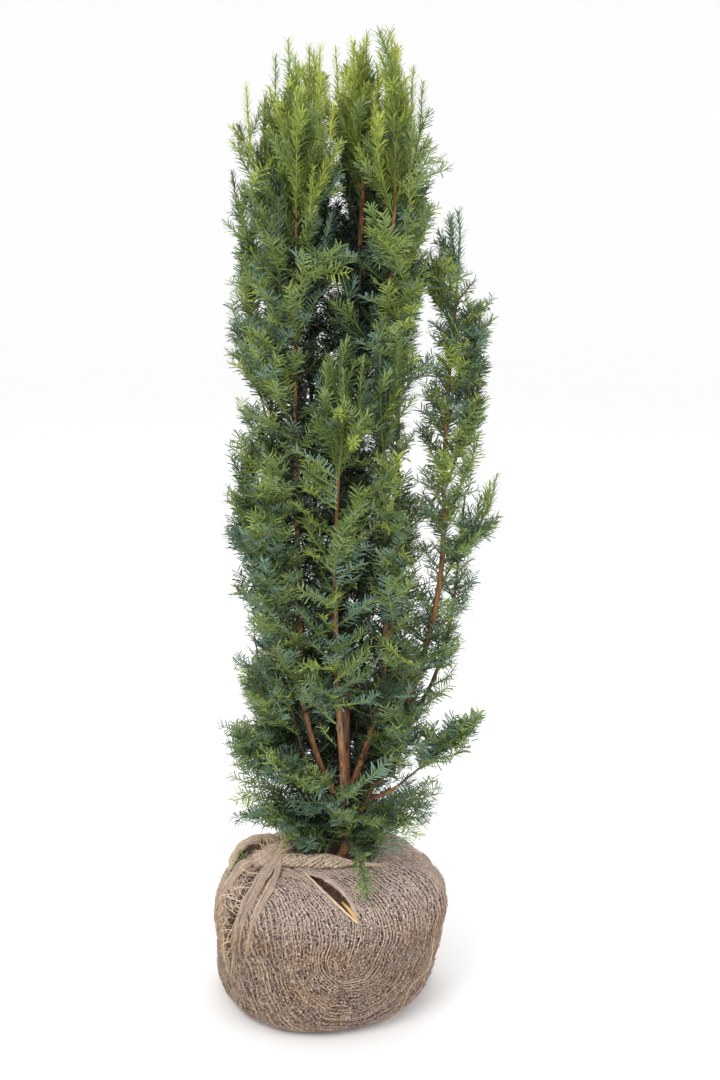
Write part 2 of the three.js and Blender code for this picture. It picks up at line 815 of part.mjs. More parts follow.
// True if the geometry is still closed after another pass through manifold-3d: each edge has one face on
// either side once its points are rounded.
function staysClosed(geometry) {
  const position = geometryOf(solidOf(geometry)).getAttribute("position");
  return [1e3, 1e4].every((perMillimetre) => {
    const keys = Array.from({ length: position.count }, (_, i) =>
      [position.getX(i), position.getY(i), position.getZ(i)].map((v) => Math.round(v * perMillimetre)).join(),
    );
    const edges = new Set();
    for (let i = 0; i < keys.length; i += 3) {
      for (let k = 0; k < 3; k++) edges.add(`${keys[i + k]} ${keys[i + ((k + 1) % 3)]}`);
    }
    const paired = [...edges].every((edge) => edges.has(edge.split(" ").reverse().join(" ")));
    return edges.size === keys.length && paired;
  });
}

// One solid for the whole mass, cut clear of the wood of every limb and rid of the shortest edges that the
// joins leave.
function massGeometry(mass, wood) {
  const pieces = [spineGeometry(mass), ...(mass.hanging ? needlesOnSpine(mass) : shootsOf(mass))];
  const whole = wasm.Manifold.union(pieces.map(solidOf)).subtract(wood);
  const candidates = [0.2, 0.1, 0.05, 0.02, 0.005].map((shortest) => geometryOf(whole.simplify(shortest)));
  return candidates.find(staysClosed) ?? geometryOf(whole);
}

// ---------------------------------------------------------------- Assembly

const part = new THREE.Group();
part.name = "yew_sapling_with_root_ball";

function add(name, geometry, look) {
  const mesh = new THREE.Mesh(geometry, new THREE.MeshStandardMaterial({ metalness: 0, ...look }));
  mesh.name = name;
  part.add(mesh);
}

const ball = solidOf(ballGeometry()).subtract(solidOf(foldCut()));
const ballWithGap = solidOf(ballGeometry(GAP));
add("root_ball", geometryOf(ball), JUTE);

// Each wrap piece lies on the ball and on the pieces before it.
let laid = ballWithGap;
const trunkWood = solidOf(limbGeometry(LIMBS[0], GAP));
for (const { name, material, make } of WRAP_PIECES) {
  const solid = solidOf(make()).subtract(laid).subtract(trunkWood);
  const geometry = geometryOf(solid);
  add(name, geometry, material);
  laid = wasm.Manifold.union(laid, solidOf(geometry).add(solidOf(make()).translate([0, 0, GAP])));
}

// A limb is cut clear of the limbs that it leaves.
let woodBefore = null;
for (const limb of ALL_LIMBS) {
  const whole = solidOf(limbGeometry(limb));
  add(limb.name, geometryOf(woodBefore ? whole.subtract(woodBefore) : whole), BARK);
  const grown = solidOf(limbGeometry(limb, GAP));
  woodBefore = woodBefore ? woodBefore.add(grown) : grown;
}

const masses = ALL_LIMBS.flatMap((limb, i) => [...bandMasses(limb, i + 1), tipMass(limb, i + 1)]);
masses.push(hangingMass());
for (const mass of masses) {
  mass.allows ??= (point) => inSpace(mass, point);
  const atTop = mass.name.endsWith("_tip") && LIMBS.includes(mass.limb);
  add(mass.name, massGeometry(mass, woodBefore), atTop ? TOP_FOLIAGE : FOLIAGE);
}

export default part;
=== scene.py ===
"""A columnar yew sapling on its jute-wrapped root ball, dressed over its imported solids.

Sizes are in millimetres and degrees, and are turned to metres where a mesh is made. +Z is up and -Y is the
front. The limbs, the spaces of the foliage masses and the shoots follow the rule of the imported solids, and
are carried on here to finer twigs, needles and buds.
"""

import math

import bpy
import numpy as np
from bpy.props import FloatProperty, FloatVectorProperty, IntProperty, PointerProperty
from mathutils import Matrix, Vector, noise


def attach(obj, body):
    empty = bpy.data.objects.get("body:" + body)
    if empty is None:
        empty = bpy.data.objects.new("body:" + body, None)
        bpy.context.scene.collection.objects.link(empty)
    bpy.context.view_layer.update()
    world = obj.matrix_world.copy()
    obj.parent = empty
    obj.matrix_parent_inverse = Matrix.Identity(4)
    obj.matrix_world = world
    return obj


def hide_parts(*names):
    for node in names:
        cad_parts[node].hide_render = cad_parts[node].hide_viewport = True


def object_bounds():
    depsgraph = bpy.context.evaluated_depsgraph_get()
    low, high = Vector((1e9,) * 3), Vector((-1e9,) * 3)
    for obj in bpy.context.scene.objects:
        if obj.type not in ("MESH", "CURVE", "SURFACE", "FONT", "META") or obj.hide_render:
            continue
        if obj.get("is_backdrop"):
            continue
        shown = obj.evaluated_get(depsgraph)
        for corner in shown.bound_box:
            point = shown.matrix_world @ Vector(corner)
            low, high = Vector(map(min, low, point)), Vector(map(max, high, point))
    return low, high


bl_info = {
    "name": "Yew sapling with root ball",
    "version": (1, 0, 0),
    "blender": (4, 5, 0),
    "location": "3D View > Sidebar > Sapling",
    "description": "Dresses the packed solids of a columnar yew sapling on its wrapped root ball",
    "category": "Object",
}

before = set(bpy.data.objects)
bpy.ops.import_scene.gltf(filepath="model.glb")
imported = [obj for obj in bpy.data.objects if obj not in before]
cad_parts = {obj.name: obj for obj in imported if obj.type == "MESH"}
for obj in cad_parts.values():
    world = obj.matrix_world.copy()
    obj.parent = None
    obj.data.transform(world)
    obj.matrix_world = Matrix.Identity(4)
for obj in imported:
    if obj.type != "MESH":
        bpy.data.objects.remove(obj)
CAD_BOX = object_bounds()
BODY = "root"
MM = 0.001

# ---------------------------------------------------------------- Driving dimensions

GAP = 0.3
SEED = 1912
GOLDEN_ANGLE = math.pi * (3 - math.sqrt(5))

BALL_RADIUS = 167  # at the widest section
BALL_WIDEST = 138  # height of that section
BALL_DOME = 213  # where the domed top would close
BALL_SEAT = 208  # flat soil round the stems
CORNER_RISE, CORNER_IN = 36, 27
SIDE_TAPER = 13
FOOT_SHIFT = -14
TOP_POWER, SIDE_POWER = 2.6, 2.2
BALL_LOBES = [(3, 0.014, 0.8, 1 / 70), (5, 0.009, -1.1, 1 / 45)]  # count, share, phase, twist

TRUNK_FOOT = (22, 4)
LEAN_FROM = 780
FLARE_RADIUS, FLARE_HEIGHT = 8, 22
UPRIGHT_BY = 250

# Half width of the column that the rule's masses keep to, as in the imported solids.
COLUMN = [(230, 70), (262, 106), (305, 136), (370, 154), (1000, 145), (1200, 126), (1300, 104), (1345, 62)]
COLUMN_LEAN = 20
COLUMN_DEPTH = 0.95

# The crown's left and right edges at each height, which the finer twigs keep to.
CROWN_EDGES = [
    (222, -34, 62), (240, -72, 84), (270, -104, 104), (305, -128, 128), (350, -150, 152),
    (410, -146, 152), (470, -148, 146), (540, -126, 146), (620, -140, 152), (715, -146, 150),
    (740, -144, 116), (865, -138, 116), (890, -140, 146), (960, -141, 154), (1070, -134, 154),
    (1165, -120, 160), (1200, -114, 142), (1270, -106, 130), (1310, -96, 120), (1348, -66, 92),
]
CROWN_DEPTH = 132  # half depth at the widest
CROWN_DEPTHS = [(222, 0.36), (270, 0.78), (350, 1), (1000, 1), (1200, 0.9), (1340, 0.6)]  # share by height
CROWN_SQUARE = 2.6  # how square the crown is in plan
CROWN_INSET = 8  # room for the needles outside the outermost twigs

# Where a limb forks off, how far out it stands and which way, its radius, its top, the tip of its last mass,
# how many other masses it carries and the height where those start, and what only some limbs have.
LIMB_COLUMNS = ("name", "fork", "spread", "azimuth", "radius", "top", "tip", "bands", "start")
LIMBS = [
    dict(zip(LIMB_COLUMNS, row), **more)
    for *row, more in (
        ("trunk", BALL_SEAT + GAP, 0, -90, 7.5, 1205, 1330, 1, 985, {"lean": 26}),
        ("stem_front", 232, 84, -96, 5, 850, 958, 2, 240, {}),
        ("stem_front_left", 262, 80, -142, 4.6, 1165, 1318, 3, 240, {}),
        ("stem_left", 246, 100, 178, 4.4, 1120, 1272, 3, 250, {}),
        ("stem_back_left", 280, 80, 124, 4.6, 1215, 1328, 3, 250, {}),
        ("stem_back", 238, 86, 76, 4.4, 1180, 1318, 3, 245, {}),
        ("stem_back_right", 268, 86, 34, 4.6, 1210, 1341, 3, 255, {}),
        ("stem_right", 228, 136, -3, 5.4, 1010, 1128, 2, 385, {"lean": 22, "lobe": 66, "upright_by": 470}),
        ("stem_front_right", 290, 72, -42, 4.6, 1225, 1337, 3, 245, {"lean": 10}),
    )
]
BOUGH_COLUMNS = ("name", "on", "fork", "azimuth", "out", "rise", "radius", "lobe", "tip")
LOW_BOUGHS = [
    dict(zip(BOUGH_COLUMNS, row))
    for row in (
        ("bough_low_right", "stem_right", 290, -14, 50, 30, 3.6, 42, 436),
        ("bough_low_left", "stem_left", 290, 194, 40, 24, 3.4, 34, 404),
        ("bough_low_front", "stem_front_left", 292, -122, 36, 18, 3.2, 30, 400),
        ("bough_low_back", "stem_back_left", 304, 102, 38, 20, 3.2, 30, 402),
    )
]
# Upright shoots that stand out of the crown: across, through and up to, then the length free of limbs.
LEADERS = [
    (-102, -20, 1279, 170), (-67, 30, 1319, 190), (-47, -35, 1334, 190), (-23, 20, 1330, 170),
    (-7, -45, 1326, 180), (11, 35, 1327, 170), (34, -30, 1326, 170), (51, 10, 1345, 180),
    (65, 48, 1308, 160), (83, -15, 1340, 190), (92, 40, 1302, 160), (110, -25, 1300, 180),
    (124, 15, 1285, 170), (20, 70, 1300, 160), (-50, 74, 1294, 160), (60, -70, 1268, 150),
    (-36, -78, 1272, 150), (10, -84, 1256, 150), (-124, 10, 1172, 120), (162, -6, 1118, 170),
    (150, 24, 1082, 120), (204, -4, 1004, 120), (-2, -98, 937, 150), (22, -106, 930, 150),
    (46, -108, 945, 150), (68, -104, 956, 150), (92, -94, 962, 150), (184, 22, 940, 100),
    (228, -12, 772, 110), (204, -34, 736, 90),
]
HANGING_SHOOT = dict(start=224, out=[34, 78, 112, 143], rise=[16, 14, 4, -20], azimuth=-77, radius=2.6)

SHOOT_SHORTEST, SHOOT_LONGEST = 44, 128
SHOOT_DEPTH = 2.1
RISE = {"low": (4, 44), "along": (22, 58), "tip": (40, 66), "bough_tip": (12, 62)}
SPINE_STAND, SPINE_RING = 26, 104
SHOOTS_PER_MASS = 6
BAND_SLOPE = 0.75
BAND_STAGGER = 55
SPACE_MARGIN = 1.6

# Places where the sky shows through the crown: across, height, half width and half height.
SKY_GAPS = [(8, 1216, 15, 30), (128, 985, 9, 40), (-88, 1000, 7, 20)]

# Where a viewer of the front stands: across, towards the viewer and up.
SIGHT_FROM = (42.6, 2010, 1192)

# Stretches of a limb that stay clear of twigs on its front, as the limb, from, to and half width.
BARE_STRETCHES = [
    ("trunk", 312, 430, 12),
    ("trunk", 1075, 1180, 4),
    ("stem_front_left", 1095, 1205, 4),
    ("stem_front_left", 345, 440, 8),
    ("stem_front_right", 1095, 1205, 4),
    ("stem_front", 715, 800, 4),
    ("stem_right", 560, 660, 5),
]

# ---------------------------------------------------------------- Settings


def colour_setting(name, description, code):
    return FloatVectorProperty(
        name=name, description=description, subtype="COLOR", size=3, min=0, max=1, default=linear(code)[:3]
    )


def length_setting(name, description, metres):
    return FloatProperty(name=name, description=description, default=metres, min=0, unit="LENGTH")


def power_setting(name, description, watts):
    return FloatProperty(name=name, description=description, default=watts, min=0, unit="POWER")


def linear(code):
    """An sRGB hex value as linear red, green, blue and alpha."""
    channels = [int(code[i : i + 2], 16) / 255 for i in (1, 3, 5)]
    return tuple(c / 12.92 if c <= 0.04045 else ((c + 0.055) / 1.055) ** 2.4 for c in channels) + (1,)


class LimbSettings(bpy.types.PropertyGroup):
    """Bark of the trunk, stems and boughs"""

    bark: colour_setting("Bark", "Reddish brown of the bark", "#8d6045")
    fresh_bark: colour_setting("Fresh bark", "Orange brown where a plate of bark has come off", "#b98558")
    grey_bark: colour_setting("Weathered bark", "Grey brown of old plates", "#7d6856")
    relief: length_setting("Relief", "Height of the bark's plates over the grooves", 0.0007)


class FoliageSettings(bpy.types.PropertyGroup):
    """Twigs, needles and buds"""

    needle_length: length_setting("Needle length", "Length of a full-grown needle", 0.0178)
    needle_width: length_setting("Needle width", "Width of a needle", 0.0019)
    pitch: length_setting("Needle spacing", "Distance along a twig from one needle to the next", 0.0017)
    lean: FloatProperty(
        name="Needle lean",
        description="Angle of a needle from its twig",
        default=math.radians(58),
        unit="ROTATION",
    )
    shoots: IntProperty(name="Shoots", description="Shoots along the stem of each mass", default=24, min=1)
    spray_spacing: length_setting("Spray spacing", "Distance along a limb from one spray to the next", 0.019)
    seed: IntProperty(name="Seed", description="Seed of the needles' small differences", default=5)
    # Painted shade: the blackish green of the needles deep in the crown stands in for the shade there.
    inner: colour_setting("Inner needles", "Blackish green inside the crown", "#1d2f25")
    deep: colour_setting("Old needles", "Dark green of last year's needles", "#455d42")
    # Partly painted reflection: this blue green is the lower sprays' own tint with the light's reflection on
    # their wax painted in.
    blue: colour_setting("Blue needles", "Blue green of the lower sprays", "#6c8a79")
    leaf: colour_setting("Outer needles", "Mid green of the outer sprays", "#7c9153")
    fresh: colour_setting("Young needles", "Yellow green of this year's shoots", "#9bab4d")
    lime: colour_setting("Newest needles", "Bright yellow green of the topmost shoots", "#b2ba57")
    bud: colour_setting("Buds", "Yellow of the small round buds", "#b6a638")


class WrapSettings(bpy.types.PropertyGroup):
    """Jute cloth and soil of the root ball"""

    yarn: colour_setting("Yarn", "Brown of the jute yarn", "#a98b7a")
    grey_yarn: colour_setting("Weathered yarn", "Greyish brown of weathered yarn", "#95807e")
    straw: colour_setting("Straw", "Pale ends of cut yarn", "#e0c8a8")
    soil: colour_setting("Soil", "Dark damp soil behind the yarn", "#2c1e16")
    rust: colour_setting("Rust", "Orange brown patches", "#8f6044")
    yarn_spacing: length_setting("Yarn spacing", "Distance from one yarn to the next", 0.0028)
    fibres: IntProperty(name="Fibres", description="Loose fibres on the cloth", default=25000, min=0)


class StageSettings(bpy.types.PropertyGroup):
    """Floor and studio light"""

    floor: colour_setting("Floor", "Pale floor", "#f8f8f8")
    key: power_setting("Key light", "Power of the large soft light", 52)
    fill: power_setting("Fill light", "Power of the fill light and the top light", 14)
    surroundings: FloatProperty(name="Room", description="Strength of the white room", default=1.03, min=0)


# ---------------------------------------------------------------- Small helpers


def chance(*keys):
    """The same number from 0 to 1 each time for the same whole-number keys."""
    h = SEED
    for key in keys:
        h = ((h ^ (int(key) + 0x9E37)) * 0x85EBCA6B) & 0xFFFFFFFF
        h = ((h ^ (h >> 13)) * 0xC2B2AE35) & 0xFFFFFFFF
        h ^= h >> 16
    return h / 2**32


def between(low, high, share):
    return low + (high - low) * share


def pick(low, high, *keys):
    """A number between two limits, the same each time for the same whole-number keys."""
    return between(low, high, chance(*keys))


def smooth(value, low, high):
    t = np.clip((value - low) / (high - low), 0, 1)
    return t * t * (3 - 2 * t)


def level(azimuth):
    angle = math.radians(azimuth)
    return np.array([math.cos(angle), math.sin(angle), 0.0])


def unit(vectors):
    vectors = np.asarray(vectors, float)
    return vectors / np.maximum(np.linalg.norm(vectors, axis=-1, keepdims=True), 1e-9)


def spaced(points, count):
    """The path through the points again as count points that lie evenly along it."""
    points = np.asarray(points, float)
    along = np.r_[0, np.cumsum(np.linalg.norm(np.diff(points, axis=0), axis=1))]
    wanted = np.linspace(0, along[-1], count)
    return np.column_stack([np.interp(wanted, along, points[:, k]) for k in range(3)])


def path_length(points):
    return float(np.linalg.norm(np.diff(points, axis=0), axis=1).sum())


def curve_through(points, count=60):
    """A centripetal spline through the points, as evenly spaced points."""
    points = [np.asarray(p, float) for p in points]
    points = [2 * points[0] - points[1], *points, 2 * points[-1] - points[-2]]
    made = []
    for i in range(1, len(points) - 2):
        p0, p1, p2, p3 = points[i - 1 : i + 3]
        d0, d1, d2 = (max(1e-4, np.linalg.norm(b - a) ** 0.5) for a, b in ((p0, p1), (p1, p2), (p2, p3)))
        t1 = ((p1 - p0) / d0 - (p2 - p0) / (d0 + d1) + (p2 - p1) / d1) * d1
        t2 = ((p2 - p1) / d1 - (p3 - p1) / (d1 + d2) + (p3 - p2) / d2) * d1
        t = np.linspace(0, 1, 40, endpoint=i == len(points) - 3)[:, None]
        made.append(p1 + t1 * t + (3 * (p2 - p1) - 2 * t1 - t2) * t**2 + (2 * (p1 - p2) + t1 + t2) * t**3)
    return spaced(np.vstack(made), count)


def placed(name, data):
    """A new object in the scene."""
    made = bpy.data.objects.new(name, data)
    bpy.context.scene.collection.objects.link(made)
    return made


def mesh_object(name, points, faces, *materials):
    """A smooth mesh object in the scene from points in millimetres."""
    mesh = bpy.data.meshes.new(name)
    mesh.from_pydata(np.asarray(points, float) * MM, [], faces)
    mesh.shade_smooth()
    for material in materials:
        mesh.materials.append(material)
    return placed(name, mesh)


def attribute(mesh, name, values, kind="FLOAT"):
    made = mesh.attributes.new(name, kind, "POINT")
    made.data.foreach_set("value" if kind == "FLOAT" else "vector", np.asarray(values, np.float32).ravel())


def stored(elements, key, width=1):
    """What a mesh holds for each of its elements, as an array."""
    made = np.empty(len(elements) * width, np.float32)
    elements.foreach_get(key, made)
    return made.reshape(-1, width) if width > 1 else made


def joined(points, faces):
    """Several lists of points and faces as one of each."""
    offsets = np.cumsum([0] + [len(p) for p in points])
    moved = [[i + start for i in face] for start, group in zip(offsets, faces) for face in group]
    return np.vstack(points), moved


def ring_faces(steps, count):
    """The faces between rings of points that follow one another."""
    made = []
    for i in range(steps - 1):
        for k in range(count):
            a, b = i * count + k, i * count + (k + 1) % count
            made.append([a, b, b + count, a + count])
    return made


def skin_faces(steps, count):
    """The faces of a closed skin: its rings, then the two points that close its ends."""
    made = ring_faces(steps, count)
    ring, first, last = (steps - 1) * count, steps * count, steps * count + 1
    for k in range(count):
        made += [[first, (k + 1) % count, k], [last, ring + k, ring + (k + 1) % count]]
    return made


def turned(faces):
    """The faces looked at from their other side."""
    return [[face[0], *face[:0:-1]] for face in faces]


def frames_along(path):
    """Tangents and two steady directions square to them along a path."""
    tangents = unit(np.gradient(path, axis=0))
    side = np.cross(tangents[0], (0, 0, 1.0))
    if np.linalg.norm(side) < 0.05:
        side = np.array([1.0, 0, 0])
    sides = []
    for tangent in tangents:
        side = unit(side - tangent * side.dot(tangent))
        sides.append(side)
    sides = np.array(sides)
    return tangents, sides, np.cross(tangents, sides)


def lying_frames(path):
    """Tangents, directions across and directions off the ball along a path that lies on it."""
    tangents = unit(np.gradient(path, axis=0))
    ups = unit((path - (0, 0, 118)) * (1, 1, 1.5))
    ups = unit(ups - tangents * (ups * tangents).sum(1)[:, None])
    return tangents, np.cross(ups, tangents), ups


def swept(path, sections, frames=lying_frames):
    """A closed skin along a path. Each of its points has a ring of pairs across and above in sections."""
    _, sides, ups = frames(path)
    rings = path[:, None] + sections[..., :1] * sides[:, None] + sections[..., 1:] * ups[:, None]
    points = np.vstack([rings.reshape(-1, 3), rings[:1].mean(1), rings[-1:].mean(1)])
    return points, skin_faces(*rings.shape[:2])


def bake_tree(made, tree, **inputs):
    """The plain mesh that a Geometry Nodes tree makes of an object, in place of the object's own."""
    modifier = made.modifiers.new("rule", "NODES")
    modifier.node_group = tree
    for socket in tree.interface.items_tree:
        if socket.in_out == "INPUT" and socket.name in inputs:
            modifier[socket.identifier] = inputs[socket.name]
    made.update_tag()
    bpy.context.view_layer.update()
    evaluated = made.evaluated_get(bpy.context.evaluated_depsgraph_get())
    mesh = bpy.data.meshes.new_from_object(evaluated)
    made.modifiers.remove(modifier)
    made.data = mesh
    return made


def dressed(made, slot, *nodes):
    """Rides a finished piece on the plant's body and hides the solids that it stands for. Its slot is not
    used.
    """
    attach(made, BODY)
    if nodes:
        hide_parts(*nodes)
    return made


# ---------------------------------------------------------------- Node trees


def add(tree, kind, inputs=None, **settings):
    """Adds a node with its settings, and links or fills its inputs."""
    made = tree.nodes.new(kind)
    for key, value in settings.items():
        setattr(made, key, value)
    for key, value in (inputs or {}).items():
        if isinstance(value, bpy.types.NodeSocket):
            tree.links.new(value, made.inputs[key])
        else:
            made.inputs[key].default_value = value
    return made


def new_material(name):
    """A material without nodes, its tree, and its object's own coordinates."""
    material = bpy.data.materials.new(name)
    material.use_nodes = True
    material.node_tree.nodes.clear()
    return material, material.node_tree, add(material.node_tree, "ShaderNodeTexCoord").outputs["Object"]


def opaque(colour):
    return tuple(colour) + (1,)


def grain(tree, place, size, detail, roughness=0.5):
    """Noise with features of a size in metres."""
    inputs = {"Vector": place, "Scale": 1 / size, "Detail": detail, "Roughness": roughness}
    return add(tree, "ShaderNodeTexNoise", inputs).outputs[0]


def ramp(tree, value, low, high, most=1.0, least=0.0):
    """A straight rise from least at the low value to most at the high one."""
    return add(tree, "ShaderNodeMapRange", {0: value, 1: low, 2: high, 3: least, 4: most}).outputs[0]


def mixed(tree, share, first, second):
    """The first colour where the share is 0, the second where it is 1."""
    return add(tree, "ShaderNodeMix", {0: share, 6: first, 7: second}, data_type="RGBA").outputs[2]


def carried(tree, name, kind="FLOAT"):
    """What a mesh carries under a name, for a Geometry Nodes tree."""
    return add(tree, "GeometryNodeInputNamedAttribute", {"Name": name}, data_type=kind).outputs["Attribute"]


def painted(tree, name):
    """What a mesh carries under a name, for a material."""
    return add(tree, "ShaderNodeAttribute", attribute_name=name).outputs["Fac"]


def bumps(tree, height, strength, distance):
    inputs = {"Height": height, "Strength": strength, "Distance": distance}
    return add(tree, "ShaderNodeBump", inputs).outputs[0]


def surface(tree, colour, roughness, **more):
    """The shader that ends a material."""
    inputs = {"Base Color": colour, "Roughness": roughness, **more}
    shader = add(tree, "ShaderNodeBsdfPrincipled", inputs)
    add(tree, "ShaderNodeOutputMaterial", {0: shader.outputs[0]})
    return shader


def new_tree(name, inputs):
    tree = bpy.data.node_groups.new(name, "GeometryNodeTree")
    for label, kind in inputs:
        tree.interface.new_socket(label, in_out="INPUT", socket_type=kind)
    tree.interface.new_socket("Geometry", in_out="OUTPUT", socket_type="NodeSocketGeometry")
    return tree, add(tree, "NodeGroupInput").outputs


def end_tree(tree, geometry, finish):
    whole = add(tree, "GeometryNodeRealizeInstances", {"Geometry": geometry})
    coloured = add(tree, "GeometryNodeSetMaterial", {"Geometry": whole.outputs[0], "Material": finish})
    add(tree, "NodeGroupOutput", {0: coloured.outputs[0]})
    return tree


def maths(tree, operation, *values):
    return add(tree, "ShaderNodeMath", dict(enumerate(values)), operation=operation).outputs[0]


def vector_maths(tree, operation, *values):
    return add(tree, "ShaderNodeVectorMath", dict(enumerate(values)), operation=operation).outputs[0]


def scaled(tree, vector, by):
    return add(tree, "ShaderNodeVectorMath", {0: vector, "Scale": by}, operation="SCALE").outputs[0]


def any_number(tree, seed, offset, low, high):
    """A random number for each point, which differs from those with another offset."""
    inputs = {"Min": low, "Max": high, "Seed": maths(tree, "ADD", seed, offset)}
    made = add(tree, "FunctionNodeRandomValue", inputs, data_type="FLOAT")
    return next(output for output in made.outputs if output.enabled)


def set_copies(tree, points, copy, heading, facing, size, **more):
    """Sets a copy of an object on each point: +Z along the heading, +Y as near as it can to facing."""
    turns = {"primary_axis": "Z", "secondary_axis": "Y"}
    rotation = add(tree, "FunctionNodeAxesToRotation", {0: heading, 1: facing}, **turns).outputs[0]
    copy = add(tree, "GeometryNodeObjectInfo", {"Object": copy}).outputs["Geometry"]
    inputs = {"Points": points, "Instance": copy, "Rotation": rotation, "Scale": size, **more}
    return add(tree, "GeometryNodeInstanceOnPoints", inputs).outputs[0]


def along_twigs_tree():
    """Sets copies of a small mesh along twigs: by turns in the twig's plane, or all round where radial is 1.

    The twigs carry the attributes plane, radial, size, pitch, leafy and reach (0 at the foot, 1 at the tip).
    """
    numbers = ("Spacing", "Lean", "Lift", "Share")
    tree, given = new_tree(
        "Needles along twigs",
        [("Twigs", "NodeSocketGeometry"), ("Copy", "NodeSocketObject")]
        + [(name, "NodeSocketFloat") for name in numbers]
        + [("Seed", "NodeSocketInt"), ("Finish", "NodeSocketMaterial")],
    )

    def random(low, high, offset):
        return any_number(tree, given["Seed"], offset, low, high)

    curves = add(tree, "GeometryNodeMeshToCurve", {0: given["Twigs"]}).outputs[0]
    spacing = maths(tree, "MULTIPLY", given["Spacing"], carried(tree, "pitch"))
    inputs = {"Curve": curves, "Length": spacing}
    points = add(tree, "GeometryNodeResampleCurve", inputs, mode="LENGTH").outputs[0]
    radial, reach = carried(tree, "radial"), carried(tree, "reach")
    flat = maths(tree, "SUBTRACT", 1.0, radial)
    tangent = add(tree, "GeometryNodeInputTangent").outputs[0]
    side = vector_maths(tree, "CROSS_PRODUCT", tangent, carried(tree, "plane", "FLOAT_VECTOR"))
    side = vector_maths(tree, "NORMALIZE", side)
    plane = vector_maths(tree, "CROSS_PRODUCT", side, tangent)
    # Half a turn from one needle to the next in the plane, or the golden angle all round.
    turn = maths(tree, "MULTIPLY_ADD", radial, GOLDEN_ANGLE - math.pi, math.pi)
    index = add(tree, "GeometryNodeInputIndex").outputs[0]
    angle = maths(tree, "ADD", maths(tree, "MULTIPLY", index, turn), random(-0.55, 0.55, 1))
    # Needles lean more towards the tip, and those all round a shoot lean more too.
    ease = maths(tree, "SUBTRACT", 1.1, maths(tree, "MULTIPLY", 0.3, maths(tree, "POWER", reach, 3.0)))
    lean = maths(tree, "MULTIPLY", maths(tree, "MULTIPLY", given["Lean"], ease), random(0.72, 1.26, 2))
    lean = maths(tree, "MULTIPLY", lean, maths(tree, "MULTIPLY_ADD", radial, -0.2, 1.0))
    to_side = scaled(tree, side, maths(tree, "COSINE", angle))
    outwards = vector_maths(tree, "ADD", to_side, scaled(tree, plane, maths(tree, "SINE", angle)))
    outwards = scaled(tree, outwards, maths(tree, "SINE", lean))
    heading = vector_maths(tree, "ADD", outwards, scaled(tree, tangent, maths(tree, "COSINE", lean)))
    lift = maths(tree, "MULTIPLY", maths(tree, "MULTIPLY", given["Lift"], flat), random(-0.6, 2.4, 6))
    heading = vector_maths(tree, "ADD", heading, scaled(tree, plane, lift))
    facing = vector_maths(tree, "ADD", scaled(tree, plane, flat), scaled(tree, tangent, radial))
    facing = vector_maths(tree, "ADD", facing, scaled(tree, side, random(-0.35, 0.35, 3)))
    size = maths(tree, "MULTIPLY", carried(tree, "size"), random(0.8, 1.12, 4))
    chosen = maths(tree, "MULTIPLY", carried(tree, "leafy"), random(0.0, 1.0, 5))
    chosen = maths(tree, "GREATER_THAN", chosen, maths(tree, "SUBTRACT", 1.0, given["Share"]))
    copies = set_copies(tree, points, given["Copy"], heading, facing, size, Selection=chosen)
    return end_tree(tree, copies, given["Finish"])


def skin_tree():
    """Gives each line of a mesh a round skin. The lines carry the attribute thick, their radius."""
    tree, given = new_tree(
        "Skin round lines",
        [("Lines", "NodeSocketGeometry"), ("Sides", "NodeSocketInt"), ("Finish", "NodeSocketMaterial")],
    )
    thick = carried(tree, "thick")
    curves = add(tree, "GeometryNodeMeshToCurve", {0: given["Lines"]}).outputs[0]
    sized = add(tree, "GeometryNodeSetCurveRadius", {"Curve": curves, "Radius": thick}).outputs[0]
    inputs = {"Resolution": given["Sides"], "Radius": 1.0}
    ring = add(tree, "GeometryNodeCurvePrimitiveCircle", inputs).outputs[0]
    skin = add(tree, "GeometryNodeCurveToMesh", {"Curve": sized, "Profile Curve": ring, "Fill Caps": True})
    if "Scale" in skin.inputs:
        tree.links.new(thick, skin.inputs["Scale"])
    return end_tree(tree, skin.outputs[0], given["Finish"])


